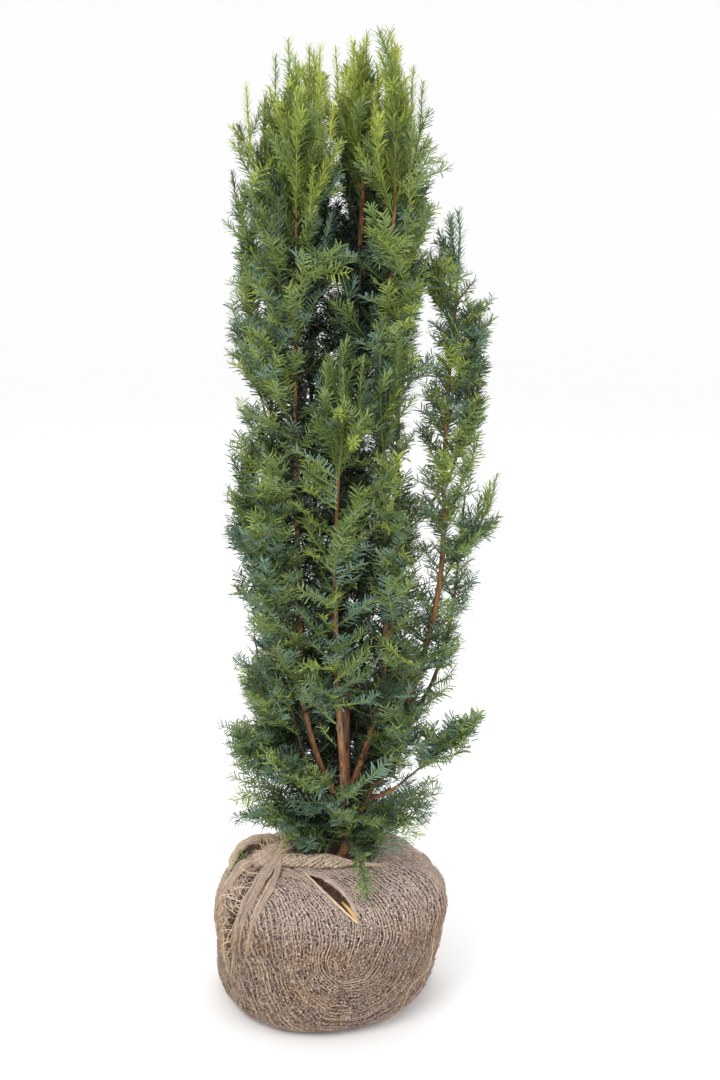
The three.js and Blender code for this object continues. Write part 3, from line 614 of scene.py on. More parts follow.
def strewn_tree():
    """Strews copies of a small mesh over a cloth, along its attribute way or, by Across, square to it.

    Each copy strays from that by up to Stray and is tipped up by up to Tip. None lies where the attribute
    bare marks soil and painted shade, nor below the height Above.
    """
    numbers = ("Density", "Above", "Across", "Stray", "Tip")
    tree, given = new_tree(
        "Fibres strewn on cloth",
        [("Cloth", "NodeSocketGeometry"), ("Copy", "NodeSocketObject")]
        + [(name, "NodeSocketFloat") for name in numbers]
        + [("Seed", "NodeSocketInt"), ("Finish", "NodeSocketMaterial")],
    )

    def random(low, high, offset):
        return any_number(tree, given["Seed"], offset, low, high)

    place = add(tree, "GeometryNodeInputPosition").outputs[0]
    height = add(tree, "ShaderNodeSeparateXYZ", {0: place}).outputs[2]
    high = maths(tree, "GREATER_THAN", height, given["Above"])
    covered = maths(tree, "MULTIPLY", high, maths(tree, "LESS_THAN", carried(tree, "bare"), 0.35))
    density = maths(tree, "MULTIPLY", covered, given["Density"])
    spread = add(
        tree,
        "GeometryNodeDistributePointsOnFaces",
        {"Mesh": given["Cloth"], "Density": density, "Seed": given["Seed"]},
        distribute_method="RANDOM",
    )
    normal = spread.outputs["Normal"]
    way = carried(tree, "way", "FLOAT_VECTOR")
    across = vector_maths(tree, "NORMALIZE", vector_maths(tree, "CROSS_PRODUCT", normal, way))
    along = scaled(tree, way, maths(tree, "SUBTRACT", 1.0, given["Across"]))
    heading = vector_maths(tree, "ADD", along, scaled(tree, across, given["Across"]))
    stray = add(tree, "FunctionNodeRandomValue", {"Seed": given["Seed"]}, data_type="FLOAT_VECTOR")
    stray.inputs[0].default_value, stray.inputs[1].default_value = (-1, -1, -1), (1, 1, 1)
    aside = vector_maths(tree, "CROSS_PRODUCT", normal, stray.outputs[0])
    aside = vector_maths(tree, "NORMALIZE", aside)
    stray_by = maths(tree, "MULTIPLY", given["Stray"], random(0.0, 1.0, 4))
    heading = vector_maths(tree, "ADD", heading, scaled(tree, aside, stray_by))
    tip = maths(tree, "MULTIPLY", given["Tip"], maths(tree, "POWER", random(0.0, 1.0, 2), 2.0))
    heading = vector_maths(tree, "ADD", heading, scaled(tree, normal, tip))
    points = spread.outputs["Points"]
    copies = set_copies(tree, points, given["Copy"], heading, normal, random(0.5, 1.25, 3))
    return end_tree(tree, copies, given["Finish"])


def lines_object(name, lines, plane=None, **attributes):
    """A mesh of open lines. Each attribute holds a number or an array for each line, plane a direction."""
    counts = [len(line) for line in lines]
    starts = np.cumsum([0] + counts[:-1])
    edges = [np.column_stack([np.arange(c - 1), np.arange(1, c)]) + s for s, c in zip(starts, counts)]
    mesh = bpy.data.meshes.new(name)
    mesh.from_pydata(np.vstack(lines) * MM, np.concatenate(edges), [])
    if plane:
        attribute(mesh, "plane", np.repeat(plane, counts, axis=0), "FLOAT_VECTOR")
    for key, values in attributes.items():
        attribute(mesh, key, np.concatenate([np.broadcast_to(v, (c,)) for v, c in zip(values, counts)]))
    return placed(name, mesh)


# ---------------------------------------------------------------- Limbs


def stem_axis(limb, z):
    """Points of an upright limb's axis at the given heights."""
    z = np.atleast_1d(np.asarray(z, float))
    upright = np.clip((z - limb["fork"]) / limb.get("upright_by", UPRIGHT_BY), 0, 1)
    risen = np.sin(upright * math.pi / 2)[:, None]
    sway = (0.045 * limb["spread"] * np.sin(z / 96 + limb["azimuth"]))[:, None]
    foot = np.column_stack([np.full_like(z, TRUNK_FOOT[0]), np.full_like(z, TRUNK_FOOT[1]), z])
    foot[:, 0] += limb.get("lean", 0) * smooth(z, LEAN_FROM, LIMBS[0]["top"])
    return foot + risen * (level(limb["azimuth"]) * limb["spread"] + level(limb["azimuth"] + 90) * sway)


def limb_path(limb):
    """A limb's axis as 27 evenly spaced points."""
    if "on" not in limb:
        return curve_through(stem_axis(limb, np.linspace(limb["fork"], limb["top"], 15)), 27)
    carrier = next(other for other in LIMBS if other["name"] == limb["on"])
    t = np.array([0, 0.35, 0.7, 1])[:, None]
    path = stem_axis(carrier, limb["fork"]) + level(limb["azimuth"]) * limb["out"] * t
    path[:, 2:] += limb["rise"] * t * (0.55 + 0.45 * t)
    return curve_through(path, 27)


def limb_radius(limb, share):
    """Radius of a limb at a share of its length. The trunk also flares at its foot."""
    share = np.asarray(share, float)
    taper = limb["radius"] * (1 - 0.62 * share)
    if limb["name"] != "trunk":
        return taper
    height = share * (limb["top"] - limb["fork"])
    return taper + FLARE_RADIUS * np.maximum(0, 1 - height / FLARE_HEIGHT) ** 2


ALL_LIMBS = LIMBS + LOW_BOUGHS
for limb in ALL_LIMBS:
    limb["path"] = limb_path(limb)
    limb["heading"] = unit(level(limb["azimuth"]) + (0, 0, 1)) if "on" in limb else np.array([0, 0, 1.0])
    end = limb["path"][-1]
    limb["onward"] = end + limb["heading"] * (limb["tip"] - end[2]) / limb["heading"][2]

# Every straight piece of every limb's axis, and on to where its last mass reaches.
PIECE_FROM = np.vstack([limb["path"] for limb in ALL_LIMBS])
PIECE_TO = np.vstack([np.vstack([limb["path"][1:], limb["onward"]]) for limb in ALL_LIMBS])
PIECE_WOOD = np.concatenate([np.r_[limb_radius(limb, np.arange(26) / 26), -1e9] for limb in ALL_LIMBS])
PIECE_STARTS = np.arange(0, len(PIECE_FROM), 27)
PIECE_ALONG = PIECE_TO - PIECE_FROM
PIECE_LENGTH2 = np.maximum(1e-9, (PIECE_ALONG**2).sum(1))


def piece_distances(points):
    """Distance from each point to each straight piece of the limbs' axes."""
    apart = points[:, None] - PIECE_FROM
    t = np.clip((apart * PIECE_ALONG).sum(2) / PIECE_LENGTH2, 0, 1)
    return np.linalg.norm(apart - t[..., None] * PIECE_ALONG, axis=2)


# ---------------------------------------------------------------- Spaces of the foliage


def in_column(points):
    heights, halves = np.array(COLUMN, float).T
    z = points[:, 2]
    half = np.interp(z, heights, halves, left=0, right=0)
    centre = COLUMN_LEAN * (z - heights[0]) / (heights[-1] - heights[0])
    half = np.maximum(half, 1e-6)
    return np.hypot((points[:, 0] - centre) / half, points[:, 1] / (half * COLUMN_DEPTH)) < 1


def crown_share(points):
    """0 in the middle of the crown's column, 1 at its edge."""
    heights, lefts, rights = np.array(CROWN_EDGES, float).T
    z = points[:, 2]
    left = np.interp(z, heights, lefts) + CROWN_INSET
    right = np.interp(z, heights, rights) - CROWN_INSET
    half = np.maximum(1, (right - left) / 2)
    depth = CROWN_DEPTH * np.interp(z, *np.array(CROWN_DEPTHS).T)
    across, through = np.abs(points[:, 0] - (left + right) / 2) / half, np.abs(points[:, 1] - 4) / depth
    share = (across**CROWN_SQUARE + through**CROWN_SQUARE) ** (1 / CROWN_SQUARE)
    return np.where((z < heights[0]) | (z > heights[-1]), 9.0, share)


def in_space(mass, points, radius):
    """True where a point lies in the mass's own space and that far clear of every limb's wood."""
    limb = mass["limb"]
    distances = piece_distances(points)
    clear = ~(distances < PIECE_WOOD + radius + 2 * GAP).any(1)
    nearest = np.minimum.reduceat(distances, PIECE_STARTS, axis=1)
    k = ALL_LIMBS.index(limb)
    own = nearest[:, k]
    others = np.delete(nearest, k, axis=1).min(1)
    inside = in_column(points) | (own < limb.get("lobe", -1))
    rise = points[:, 2] - BAND_SLOPE * own
    inside &= (rise >= mass["low"] + SPACE_MARGIN) & (rise <= mass["high"] - SPACE_MARGIN)
    inside &= (points[:, 2] <= limb["tip"]) & (points[:, 2] >= COLUMN[0][0])
    return inside & clear & (others > own + 2 * SPACE_MARGIN)


def band_masses(limb, order):
    """The masses that sit along a limb, one above the other, each on its outer side."""
    made = []
    bands = limb.get("bands", 0)
    for k in range(bands):
        low, high = (
            between(limb["start"], limb["top"] - 30, limit / bands)
            + (BAND_STAGGER * (order % 3 - 1) if 0 < limit < bands else 0)
            for limit in (k, k + 1)
        )
        mass = dict(
            limb=limb,
            low=low if k else 0,
            high=high,
            key=order * 100 + k,
            outward=limb["azimuth"] + pick(-1, 1, order, k, 1) * (26 if k else 8),
            spread=112 if limb["spread"] else 180,
            longest=SHOOT_LONGEST,
            rise=RISE["along" if k else "low"],
            shoots=SHOOTS_PER_MASS + (0 if k else 1),
            foot=0.62 * limb["radius"] * between(1, 0.38, k / bands),
            kind="band",
        )
        points = []
        for i, t in enumerate((0.02, 0.28 if k else 0.14, 0.6 if k else 0.4, 1)):
            height = between(low + 8, high + 8, t)
            axis = stem_axis(limb, height)[0] if height <= limb["top"] else np.r_[limb["onward"][:2], height]
            ring = 0
            if limb["spread"]:
                ring = SPINE_RING - math.hypot(axis[0] - TRUNK_FOOT[0], axis[1] - TRUNK_FOOT[1])
            wanted = max(SPINE_STAND, ring) * (0, 0.75, 1, 1.1)[i]
            points.append(stand_off(mass, axis, wanted) if i else axis)
        mass["spine"] = curve_through(points)
        made.append(mass)
    return made


def stand_off(mass, axis, wanted):
    out = level(mass["outward"])
    stand = wanted
    while stand > 0.5 * SPINE_STAND:
        point = axis + out * stand
        if in_space(mass, point[None], -1e6)[0]:
            return point
        stand -= 6
    return axis + out * min(wanted, 0.5 * SPINE_STAND)


def tip_mass(limb, order):
    """The mass that a limb ends in."""
    upright = "on" not in limb
    start = limb["path"][-1] + unit(limb["path"][-1] - limb["path"][-2]) * 1.5 * GAP
    length = (limb["tip"] - start[2]) / limb["heading"][2] - 4
    points = [
        start + limb["heading"] * length * t + level(137 * order) * off
        for t, off in zip((0, 0.4, 0.75, 1), (0, 2, 4, 1))
    ]
    return dict(
        limb=limb,
        low=(limb["top"] if upright else COLUMN[0][0]) - 30,
        high=1e9,
        key=order * 100 + 50,
        outward=limb["azimuth"],
        spread=180,
        longest=90 if upright else SHOOT_LONGEST,
        rise=RISE["tip" if upright else "bough_tip"],
        first=0.22,
        shoots=SHOOTS_PER_MASS - 1,
        foot=float(limb_radius(limb, 1)) * 0.98,
        spine=curve_through(points),
        kind="tip" if upright else "bough_tip",
    )


def foliage_masses():
    made = []
    for i, limb in enumerate(ALL_LIMBS):
        made += band_masses(limb, i + 1) + [tip_mass(limb, i + 1)]
    return made


# ---------------------------------------------------------------- Twigs


def longest_fit(mass, start, heading):
    """Length of the longest shoot from a point along a heading that fits the mass's space, or 0."""
    steps = np.arange(4, mass["longest"] + 1, 4.0)
    fits = in_space(mass, start + heading * steps[:, None], SHOOT_DEPTH)
    for length in np.arange(mass["longest"], SHOOT_SHORTEST - 1, -8.0):
        if fits[(steps >= 0.25 * length) & (steps <= length)].all():
            return length
    return 0


def rule_headings(mass, i):
    """The headings that the rule tries for shoot i of a mass, in order."""
    for attempt in range(6):
        turned = i * GOLDEN_ANGLE + 2 * math.pi * chance(mass["key"], i, attempt)
        swing = (turned % (2 * math.pi)) / math.pi - 1
        rise = math.radians(between(*mass["rise"], chance(mass["key"], i, attempt, 5)))
        yield level(mass["outward"] + swing * mass["spread"]) * math.cos(rise) + (0, 0, math.sin(rise))


class Twig:
    """A line of points with what grows on it."""

    def __init__(self, points, plane, radial, key, size=1.0, thick=(1.0, 0.5), leafy_from=0.0, old=False):
        self.points = points
        self.plane = plane
        self.radial = radial
        self.key = key
        self.size = size
        self.thick = thick
        self.leafy_from = leafy_from
        self.old = old
        self.tone = None
        self.free = False  # True where the crown's edges don't cut it
        self.carrier = None  # the twig that this one grows from
        self.limit = pick(0.84, 1.05, key, 161) + 0.12 * (chance(key, 162) < 0.1)

    def carries(self, others):
        """Marks a spray's first twig as grown from this one, and gives all of it the same limit."""
        others[0].carrier = self
        for other in others:
            other.limit = self.limit
        return others


def bent(start, heading, length, lift, key):
    """Points of a twig that turns upwards by its lift for each 100 mm, and wanders a little."""
    count = max(3, round(length / 11) + 1)
    step = length / (count - 1)
    turn = np.array([0, 0, lift]) + level(360 * chance(key, 21)) * 0.16
    points, heading = [np.asarray(start, float)], np.asarray(heading, float)
    for _ in range(count - 1):
        heading = unit(heading + turn * step / 100)
        points.append(points[-1] + heading * step)
    return np.array(points)


def plane_of(heading, key):
    """The normal of the plane in which a spray spreads: as near to upwards as it can be, with some roll."""
    side = np.cross(heading, (0, 0, 1.0))
    if np.linalg.norm(side) < 0.2:
        side = level(360 * chance(key, 31))
    side = unit(side - heading * heading.dot(side))
    up = np.cross(side, heading)
    roll = math.radians(pick(-34, 34, key, 32))
    return unit(up * math.cos(roll) + side * math.sin(roll))


# By order of a shoot: its needles' size, its radius at foot and tip, where its needles start, and the distance
# between its side shoots.
SHOOT_ORDERS = ((1, (1.5, 0.75), 0.1, 15), (0.96, (0.9, 0.55), 0, 17), (0.9, (0.65, 0.45), 0, 0))
SIDE_SHOOT_LONGEST, SIDE_SHOOT_SHORTEST = 62, 13


def point_at(path, share):
    """The point at a share of the way along a path, and the number of the path's own point before it."""
    position = share * (len(path) - 1)
    j = min(len(path) - 2, int(position))
    return between(path[j], path[j + 1], position - j), j


def grow_spray(start, heading, length, key, radial=0.0, lift=0.3, order=0):
    """A shoot with its side shoots left and right by turns, and theirs where they are long."""
    size, thick, leafy_from, spacing = SHOOT_ORDERS[order]
    plane = plane_of(heading, key)
    points = bent(start, heading, length, lift, key)
    made = [Twig(points, plane, radial, key, size, thick, leafy_from)]
    if order == 2 or length < 34:
        return made
    count = int(length * 0.72 / (spacing * (1.5 if radial else 1)))
    for i in range(count):
        share = between(0.2, 0.84, (i + 0.5 * chance(key, i, 41)) / max(1, count))
        at, j = point_at(points, share)
        along = unit(points[j + 1] - points[j])
        side = np.cross(along, plane) * (1 if (i + key) % 2 else -1)
        angle = math.radians(pick(34, 54, key, i, 42) - 12 * radial)
        out = side + plane * pick(-0.22, 0.3, key, i, 43)
        if radial:
            turn = 2 * math.pi * chance(key, i, 44)
            out = side * math.cos(turn) + plane * math.sin(turn)
        onward = along * math.cos(angle) + unit(out) * math.sin(angle)
        reach = length * between(0.66, 0.26, share) * pick(0.75, 1.2, key, i, 45)
        reach = min(reach, SIDE_SHOOT_LONGEST)
        if reach >= SIDE_SHOOT_SHORTEST:
            spray = grow_spray(at, unit(onward), reach, key * 7 + i + 1, radial, lift * 1.1, order + 1)
            made += made[0].carries(spray)
    return made


TIP_SHOOTS = 6  # of the masses that the upright limbs end in, which stay slender


def mass_twigs(mass, shoots):
    """All the twigs of a mass: its own stem, the rule's shoots from it, and more shoots by the same rule."""
    spine, key = mass["spine"], mass["key"]
    upright = mass["kind"] == "tip"
    stem = Twig(
        spaced(spine, 14),
        plane_of(unit(spine[-1] - spine[0]), key),
        1.0 if upright else 0.0,
        key,
        size=0.86 if upright else 0.9,
        thick=(max(1.6, mass["foot"]), 1.0),
        leafy_from=0.1 if upright else 0.45,
        old=not upright,
    )
    made = [stem]
    first = mass.get("first", 0.2)
    slender = 1 if mass["limb"]["name"] == "stem_right" else TIP_SHOOTS
    for i in range(slender if upright else shoots):
        share = i / (mass["shoots"] - 1) if i < mass["shoots"] else (i * 0.6180339) % 1
        at = spine[round(between(first, 0.86, share) * (len(spine) - 1))]
        for heading in rule_headings(mass, i):
            length = longest_fit(mass, at, heading)
            if not length:
                continue
            # The highest shoots stand upright and carry their needles all round.
            radial = 1.0 if upright or heading[2] > 0.86 else 0.0
            if upright:
                heading = unit(heading + (0, 0, 1.1))
                length *= pick(0.75, 1.05, key, i, 61)
            made += grow_spray(at, heading, length, key * 31 + i, radial, 0.18 if upright else 0.32)
            break
    return made


def limb_sprays(limb, spacing, short=False):
    """Sprays that leave a limb itself, all round it and all along it.

    They are longest on the crown's outside, or all short where they only clothe the limb.
    """
    order = ALL_LIMBS.index(limb) + 1 + 20 * short
    path = limb["path"]
    low = 226 if limb["name"] != "stem_right" else 300
    made = []
    count = int(path_length(path) / spacing)
    for k in range(count):
        share = (k + chance(order, k, 51)) / count
        at, _ = point_at(path, share)
        if at[2] < low:
            continue
        azimuth = math.degrees(k * GOLDEN_ANGLE) + 40 * chance(order, k, 52)
        steep = (-14, 30) if at[2] < 310 else (24, 60) if at[2] < 1080 else (36, 72)
        rise = math.radians(between(*steep, chance(order, k, 53)))
        heading = level(azimuth) * math.cos(rise) + (0, 0, math.sin(rise))
        outward = 0.5 + 0.5 * float(level(azimuth) @ level(limb["azimuth"])) if limb["spread"] else 0.5
        length = between(52, 112, outward) * pick(0.75, 1.15, order, k, 54)
        if short:
            length = pick(24, 50, order, k, 54)
        high = at[2] > 1120
        if high:
            heading = unit(heading + (0, 0, 0.9))
        key = 50000 + order * 1000 + k
        lift = 0.3 if at[2] > 290 else -0.12
        made += grow_spray(at, heading, length, key, 1.0 if high or heading[2] > 0.86 else 0.0, lift)
    return made


def nearest_limb(place, height):
    """The upright limb whose axis is nearest to a place at a height: its point there and that distance."""
    axes = [stem_axis(limb, min(height, limb["top"]))[0] for limb in LIMBS]
    apart = [math.hypot(axis[0] - place[0], axis[1] - place[1]) + abs(axis[2] - height) for axis in axes]
    k = int(np.argmin(apart))
    return axes[k], apart[k]


def upright_shoot(start, tip, bends, count, key, size, foot, sides):
    """An upright shoot from a limb to a tip, with side shoots on its lower half.

    bends are the shares of the way out and of the way up that it passes. sides holds how many side shoots
    there are, from which point of the path to the next, the first's and the last's length, and how strongly
    they head along the shoot and away from it.
    """
    lean = np.array(tip[:2]) - start[:2]
    passed = [np.r_[start[:2] + lean * s, between(start[2], tip[2], t)] for s, t in bends]
    path = curve_through(passed, count)
    plane = plane_of(unit(path[-1] - path[0]), key)
    shoot = Twig(path, plane, 1.0, key, size, (foot, 0.7), 0.1)
    made = [shoot]
    number, step, first, last, onward, away = sides
    for k in range(number):
        j = 3 + step * k
        along = unit(path[j + 1] - path[j])
        heading = unit(along * onward + level(137.5 * k + 360 * chance(key, k)) * away)
        length = between(first, last, k / (number - 1))
        made += shoot.carries(grow_spray(path[j], heading, length, key * 3 + k, 1.0, 0.5, 1))
    return made


def leader_twigs():
    """The upright shoots that stand out of the crown, which its edges don't cut."""
    made = []
    bends = ((0, 0), (0.55, 0.3), (0.86, 0.6), (1.0, 1.0))
    for i, (x, y, top, length) in enumerate(LEADERS):
        start, _ = nearest_limb((x, y), top - length)
        sides = (5, 2, 58, 34, 0.85, 0.55)
        made += upright_shoot(start, (x, y, top), bends, 18, 70000 + i, 0.84, 1.35, sides)
    for twig in made:
        twig.free = True
    return made


def top_twigs(count):
    """Upright shoots that close the crown's top from edge to edge, lower towards the edge."""
    made = []
    bends = ((0, 0), (0.6, 0.35), (1, 1))
    for k in range(count):
        share = math.sqrt((k + 0.5) / count)
        turn = k * GOLDEN_ANGLE
        x, y = 12 + 106 * share * math.cos(turn), 4 + 92 * share * math.sin(turn)
        top = between(1290, 1205, share**2) - (200 if k % 3 == 1 else 50) * chance(k, 141)
        start, apart = nearest_limb((x, y), top - 120)
        if apart <= 100:
            sides = (3, 3, 56, 30, 0.8, 0.6)
            made += upright_shoot(start, (x, y, top), bends, 14, 80000 + k, 0.8, 1.2, sides)
    return made


# The tips of the sprays that widen the crown's foot: across, through and up.
FOOT_SPRAYS = [
    (-156, -6, 322), (-142, -34, 300), (-126, 24, 284), (-112, -50, 290), (-98, 4, 258),
    (-88, -32, 266), (-70, 44, 262), (164, -4, 308), (152, 28, 290), (144, -38, 286),
    (124, 8, 268), (110, -30, 260), (96, 36, 260), (72, -58, 276), (-50, -62, 274),
    (24, -70, 268),
]


def foot_twigs():
    """Sprays that spread low round the stems and hang over the wrap's mouth, longest on the left."""
    made = []
    for k, tip in enumerate(FOOT_SPRAYS):
        start = stem_axis(LIMBS[0], 232 + 0.24 * (tip[2] - 250) + 6 * (k % 3))[0]
        onward = np.array(tip, float) - start
        heading = unit(unit(onward) + (0, 0, 0.1))
        made += grow_spray(start, heading, 0.94 * path_length(np.array([start, tip])), 96000 + k, 0.0, -0.12)
    for k in range(30):
        azimuth = k * 137.5 + 30 * chance(k, 181)
        left = 0.5 - 0.5 * math.cos(math.radians(azimuth) - 0.1)
        start = stem_axis(LIMBS[0], pick(218, 242, k, 182))[0] + level(azimuth) * 7
        heading = unit(level(azimuth) + (0, 0, pick(0.02, 0.24, k, 183)))
        length = between(46, 84, left) * pick(0.8, 1.1, k, 184)
        for twig in grow_spray(start, heading, length, 95000 + k, 0.0, -0.16):
            if twig.points[:, 2].min() < 215 or twig.points[:, 1].min() < -36:
                continue
            # The inner tone among these low sprays is painted shade under the crown.
            twig.tone = ("deep", "blue", "leaf", "inner")[int(4 * chance(twig.key, 185))]
            made.append(twig)
    return made


def hanging_twigs():
    """The shoot that hangs forward over the wrap, and the sprig that lies on the cloth below the ear."""
    plan = HANGING_SHOOT
    start = stem_axis(LIMBS[0], plan["start"])[0]
    out = level(plan["azimuth"])
    onwards = [start + out * o + (0, 0, r) for o, r in zip(plan["out"], plan["rise"])]
    path = curve_through([start, *onwards], 18)
    thick = (plan["radius"] * 0.7, 0.9)
    stem = Twig(path, np.array([0, -0.45, 0.9]), 0.45, 9000, size=0.82, thick=thick, leafy_from=0.2)
    made = [stem]
    for i, share in enumerate((0.42, 0.52, 0.6, 0.68, 0.76, 0.84)):
        j = round(share * 17)
        along = unit(path[j + 1] - path[j])
        side = np.cross(along, (0, 0, 1.0)) * (1 if i % 2 else -1)
        heading = unit(along * 0.9 + side * 0.34 + (0, 0, -0.02))
        twig = grow_spray(path[j], heading, between(30, 22, share), 9100 + i, 0.3, -0.5, 2)[0]
        made.append(twig)
    for k in range(4):
        start = np.array([-116.0 - 5 * k, -4 - 4 * k, 203 - 3.5 * k])
        heading = unit(np.array([-0.7 + 0.5 * chance(k, 171), -0.6, -0.5 + 0.9 * chance(k, 172)]))
        made += grow_spray(start, heading, 24, 9200 + k, 0.3, -0.5, 2)
    for twig in made:
        twig.tone = "leaf"
    made[0].tone = "deep"
    return made


def parted(points):
    """True where a point stands in front of a stretch of a limb that shows between the sprays."""
    hidden = np.zeros(len(points), bool)
    x, y, z = points.T
    for name, low, high, half in BARE_STRETCHES:
        limb = next(other for other in LIMBS if other["name"] == name)
        axis = stem_axis(limb, np.clip(z, low, high))
        depth = np.maximum(0, axis[:, 1] - y) / (SIGHT_FROM[1] + y)
        seen_x = x + (x - SIGHT_FROM[0]) * depth
        seen_z = z + (z - SIGHT_FROM[2]) * depth
        axis = stem_axis(limb, np.clip(seen_z, low, high))
        beside = np.abs(seen_x - axis[:, 0]) < half + 4
        hidden |= beside & (y < axis[:, 1]) & (seen_z > low) & (seen_z < high)
    nearer = SIGHT_FROM[1] / (SIGHT_FROM[1] + y)
    seen_x = SIGHT_FROM[0] + (x - SIGHT_FROM[0]) * nearer
    seen_z = SIGHT_FROM[2] + (z - SIGHT_FROM[2]) * nearer
    for at_x, at_z, half_x, half_z in SKY_GAPS:
        hidden |= np.hypot((seen_x - at_x) / half_x, (seen_z - at_z) / half_z) < 1
    return hidden


LONGEST_GAP = 9  # from a shoot's foot to the nearest point of its carrier, which has one every 11 mm


def within_reach(twigs):
    """The twigs, cut where they would leave the crown, touch the ball or hide a bare stretch.

    A carrier stands before its shoots in the list. A shoot whose place on it is cut away goes too.
    """
    counts = [len(twig.points) for twig in twigs]
    points = np.vstack([twig.points for twig in twigs])
    inside = crown_share(points) < np.repeat([twig.limit for twig in twigs], counts)
    lobed = [limb for limb in ALL_LIMBS if "lobe" in limb]
    for start in range(0, len(points), 4000):
        block = slice(start, start + 4000)
        nearest = np.minimum.reduceat(piece_distances(points[block]), PIECE_STARTS, axis=1)
        for limb in lobed:
            own = nearest[:, ALL_LIMBS.index(limb)]
            inside[block] |= (own < limb["lobe"] - 2 * CROWN_INSET) & (points[block, 2] < limb["tip"])
    inside &= ~parted(points)
    inside &= points[:, 2] > BALL_SEAT + 8
    kept, start = [], 0
    for twig, count in zip(twigs, counts):
        allowed = inside[start : start + count] | twig.free
        start += count
        whole = count if allowed[1:].all() else 1 + int(np.argmin(allowed[1:]))
        carrier = twig.carrier
        loose = carrier and np.linalg.norm(carrier.points - twig.points[0], axis=1).min() > LONGEST_GAP
        if loose or whole < 2 or path_length(twig.points[:whole]) < 9:
            twig.points = twig.points[:1] + (0, 0, 1e6)
            continue
        twig.points = twig.points[:whole]
        kept.append(twig)
    return kept


# How tones are dealt out: for a spray whose tip lies within a share of the crown and over a height, each
# tone and the chance up to which it is dealt. The first row that fits holds.
TONES = (
    (math.inf, 1272, (("lime", 0.4), ("fresh", 0.82), ("leaf", 1))),
    (math.inf, 1222, (("fresh", 0.4), ("lime", 0.5), ("leaf", 0.86), ("deep", 1))),
    (math.inf, 1170, (("leaf", 0.52), ("fresh", 0.66), ("deep", 1))),
    # The inner tone, dealt deep in the crown, is painted shade.
    (0.55, 0, (("inner", 0.66), ("deep", 1))),
    (0.75, 0, (("inner", 0.22), ("deep", 0.62), ("blue", 0.76), ("leaf", 1))),
    # The blue tone is partly the lower sprays' own tint and partly a painted reflection of the light on their
    # wax.
    (math.inf, 720, (("blue", 0.18), ("deep", 0.4), ("leaf", 0.86), ("fresh", 1))),
    (math.inf, 0, (("blue", 0.38), ("deep", 0.58), ("leaf", 0.93), ("fresh", 1))),
)
LEADER_HEIGHT = 1222  # over which no leader is dark


def give_tones(twigs):
    """Deals out the colours of the needles by spray: lighter towards the top, where the shoots are young, and
    blackish deep in the crown, which is painted shade.
    """
    tips = np.array([twig.points[-1] for twig in twigs])
    for twig, tip, share in zip(twigs, tips, crown_share(tips)):
        if twig.tone:
            continue
        height = tip[2] + 34 * (chance(twig.key // 7, 72) - 0.5)
        tones = next(row for within, over, row in TONES if share < within and height > over)
        drawn = chance(twig.key, 71)
        twig.tone = next(tone for tone, limit in tones if drawn < limit)
        if twig.free and twig.tone == "deep" and height > LEADER_HEIGHT:
            twig.tone = "leaf"
    return twigs


# ---------------------------------------------------------------- Foliage pieces


def needle_copy(settings):
    """One needle along +Z: a blade that is folded along its rib, bent back a little and ends in a point."""
    length, half = settings.needle_length / MM, settings.needle_width / MM / 2
    points = [
        (0, 0, 0),
        (-half, -0.1 * half, 0.2 * length),
        (-half, 0.1 * half, 0.82 * length),
        (0, -1.1 * half, length),
        (half, 0.1 * half, 0.82 * length),
        (half, -0.1 * half, 0.2 * length),
        (0, 0.55 * half, 0.55 * length),
    ]
    made = mesh_object("needle_copy", points, [(k, 6, (k + 1) % 6) for k in range(6)])
    made.data.shade_flat()
    return made


def bud_copy():
    """One bud along +Z: a small closed oval of 8 faces."""
    ring = [(1.2 * math.cos(a), 1.2 * math.sin(a), 1.5) for a in np.arange(4) * math.pi / 2]
    faces = [(0, 1 + (k + 1) % 4, 1 + k) for k in range(4)] + [(5, 1 + k, 1 + (k + 1) % 4) for k in range(4)]
    return mesh_object("bud_copy", [(0, 0, 0), *ring, (0, 0, 3.4)], faces)


def closeness(twig):
    """Needle spacing of a twig as a share of the usual one: closer on upright shoots, which are brushes."""
    return 0.55 if twig.radial > 0.9 else 1.0


def needle_share(twig, reach):
    """Length of the needles along a twig: shorter at its ends, though an upright shoot ends in a tuft."""
    swell = np.sin(np.pi * (0.7 * reach + 0.18))
    return 0.9 * (0.64 + 0.36 * swell) if twig.radial > 0.9 else 0.46 + 0.54 * swell


def twig_lines(name, twigs):
    """The twigs as one mesh of lines with the attributes that the trees read."""
    reach = [np.linspace(0, 1, len(twig.points)) for twig in twigs]
    return lines_object(
        name,
        [twig.points for twig in twigs],
        plane=[twig.plane for twig in twigs],
        radial=[twig.radial for twig in twigs],
        pitch=[closeness(twig) for twig in twigs],
        reach=reach,
        size=[twig.size * needle_share(twig, r) for twig, r in zip(twigs, reach)],
        leafy=[(r >= twig.leafy_from).astype(float) for twig, r in zip(twigs, reach)],
        thick=[between(twig.thick[0], twig.thick[1], r) * MM for twig, r in zip(twigs, reach)],
    )


def needle_material(name, colour, roughness):
    """Yew needle: leathery with a thin wax, which gives a soft narrow gloss over a mottled green."""
    material, tree, place = new_material(name)
    mottle = grain(tree, place, 0.011, 3.0)
    shade = [c * 0.52 for c in colour[:3]] + [1]
    light = [min(1, c * 1.62) for c in colour[:3]] + [1]
    wax = bumps(tree, grain(tree, place, 0.0016, 2.0), 0.25, 0.0003)
    gloss = ramp(tree, mottle, 0, 1, roughness + 0.1, roughness - 0.08)
    shader = surface(tree, mixed(tree, mottle, shade, light), gloss, Normal=wax)
    shader.inputs["IOR"].default_value = 1.46
    return material


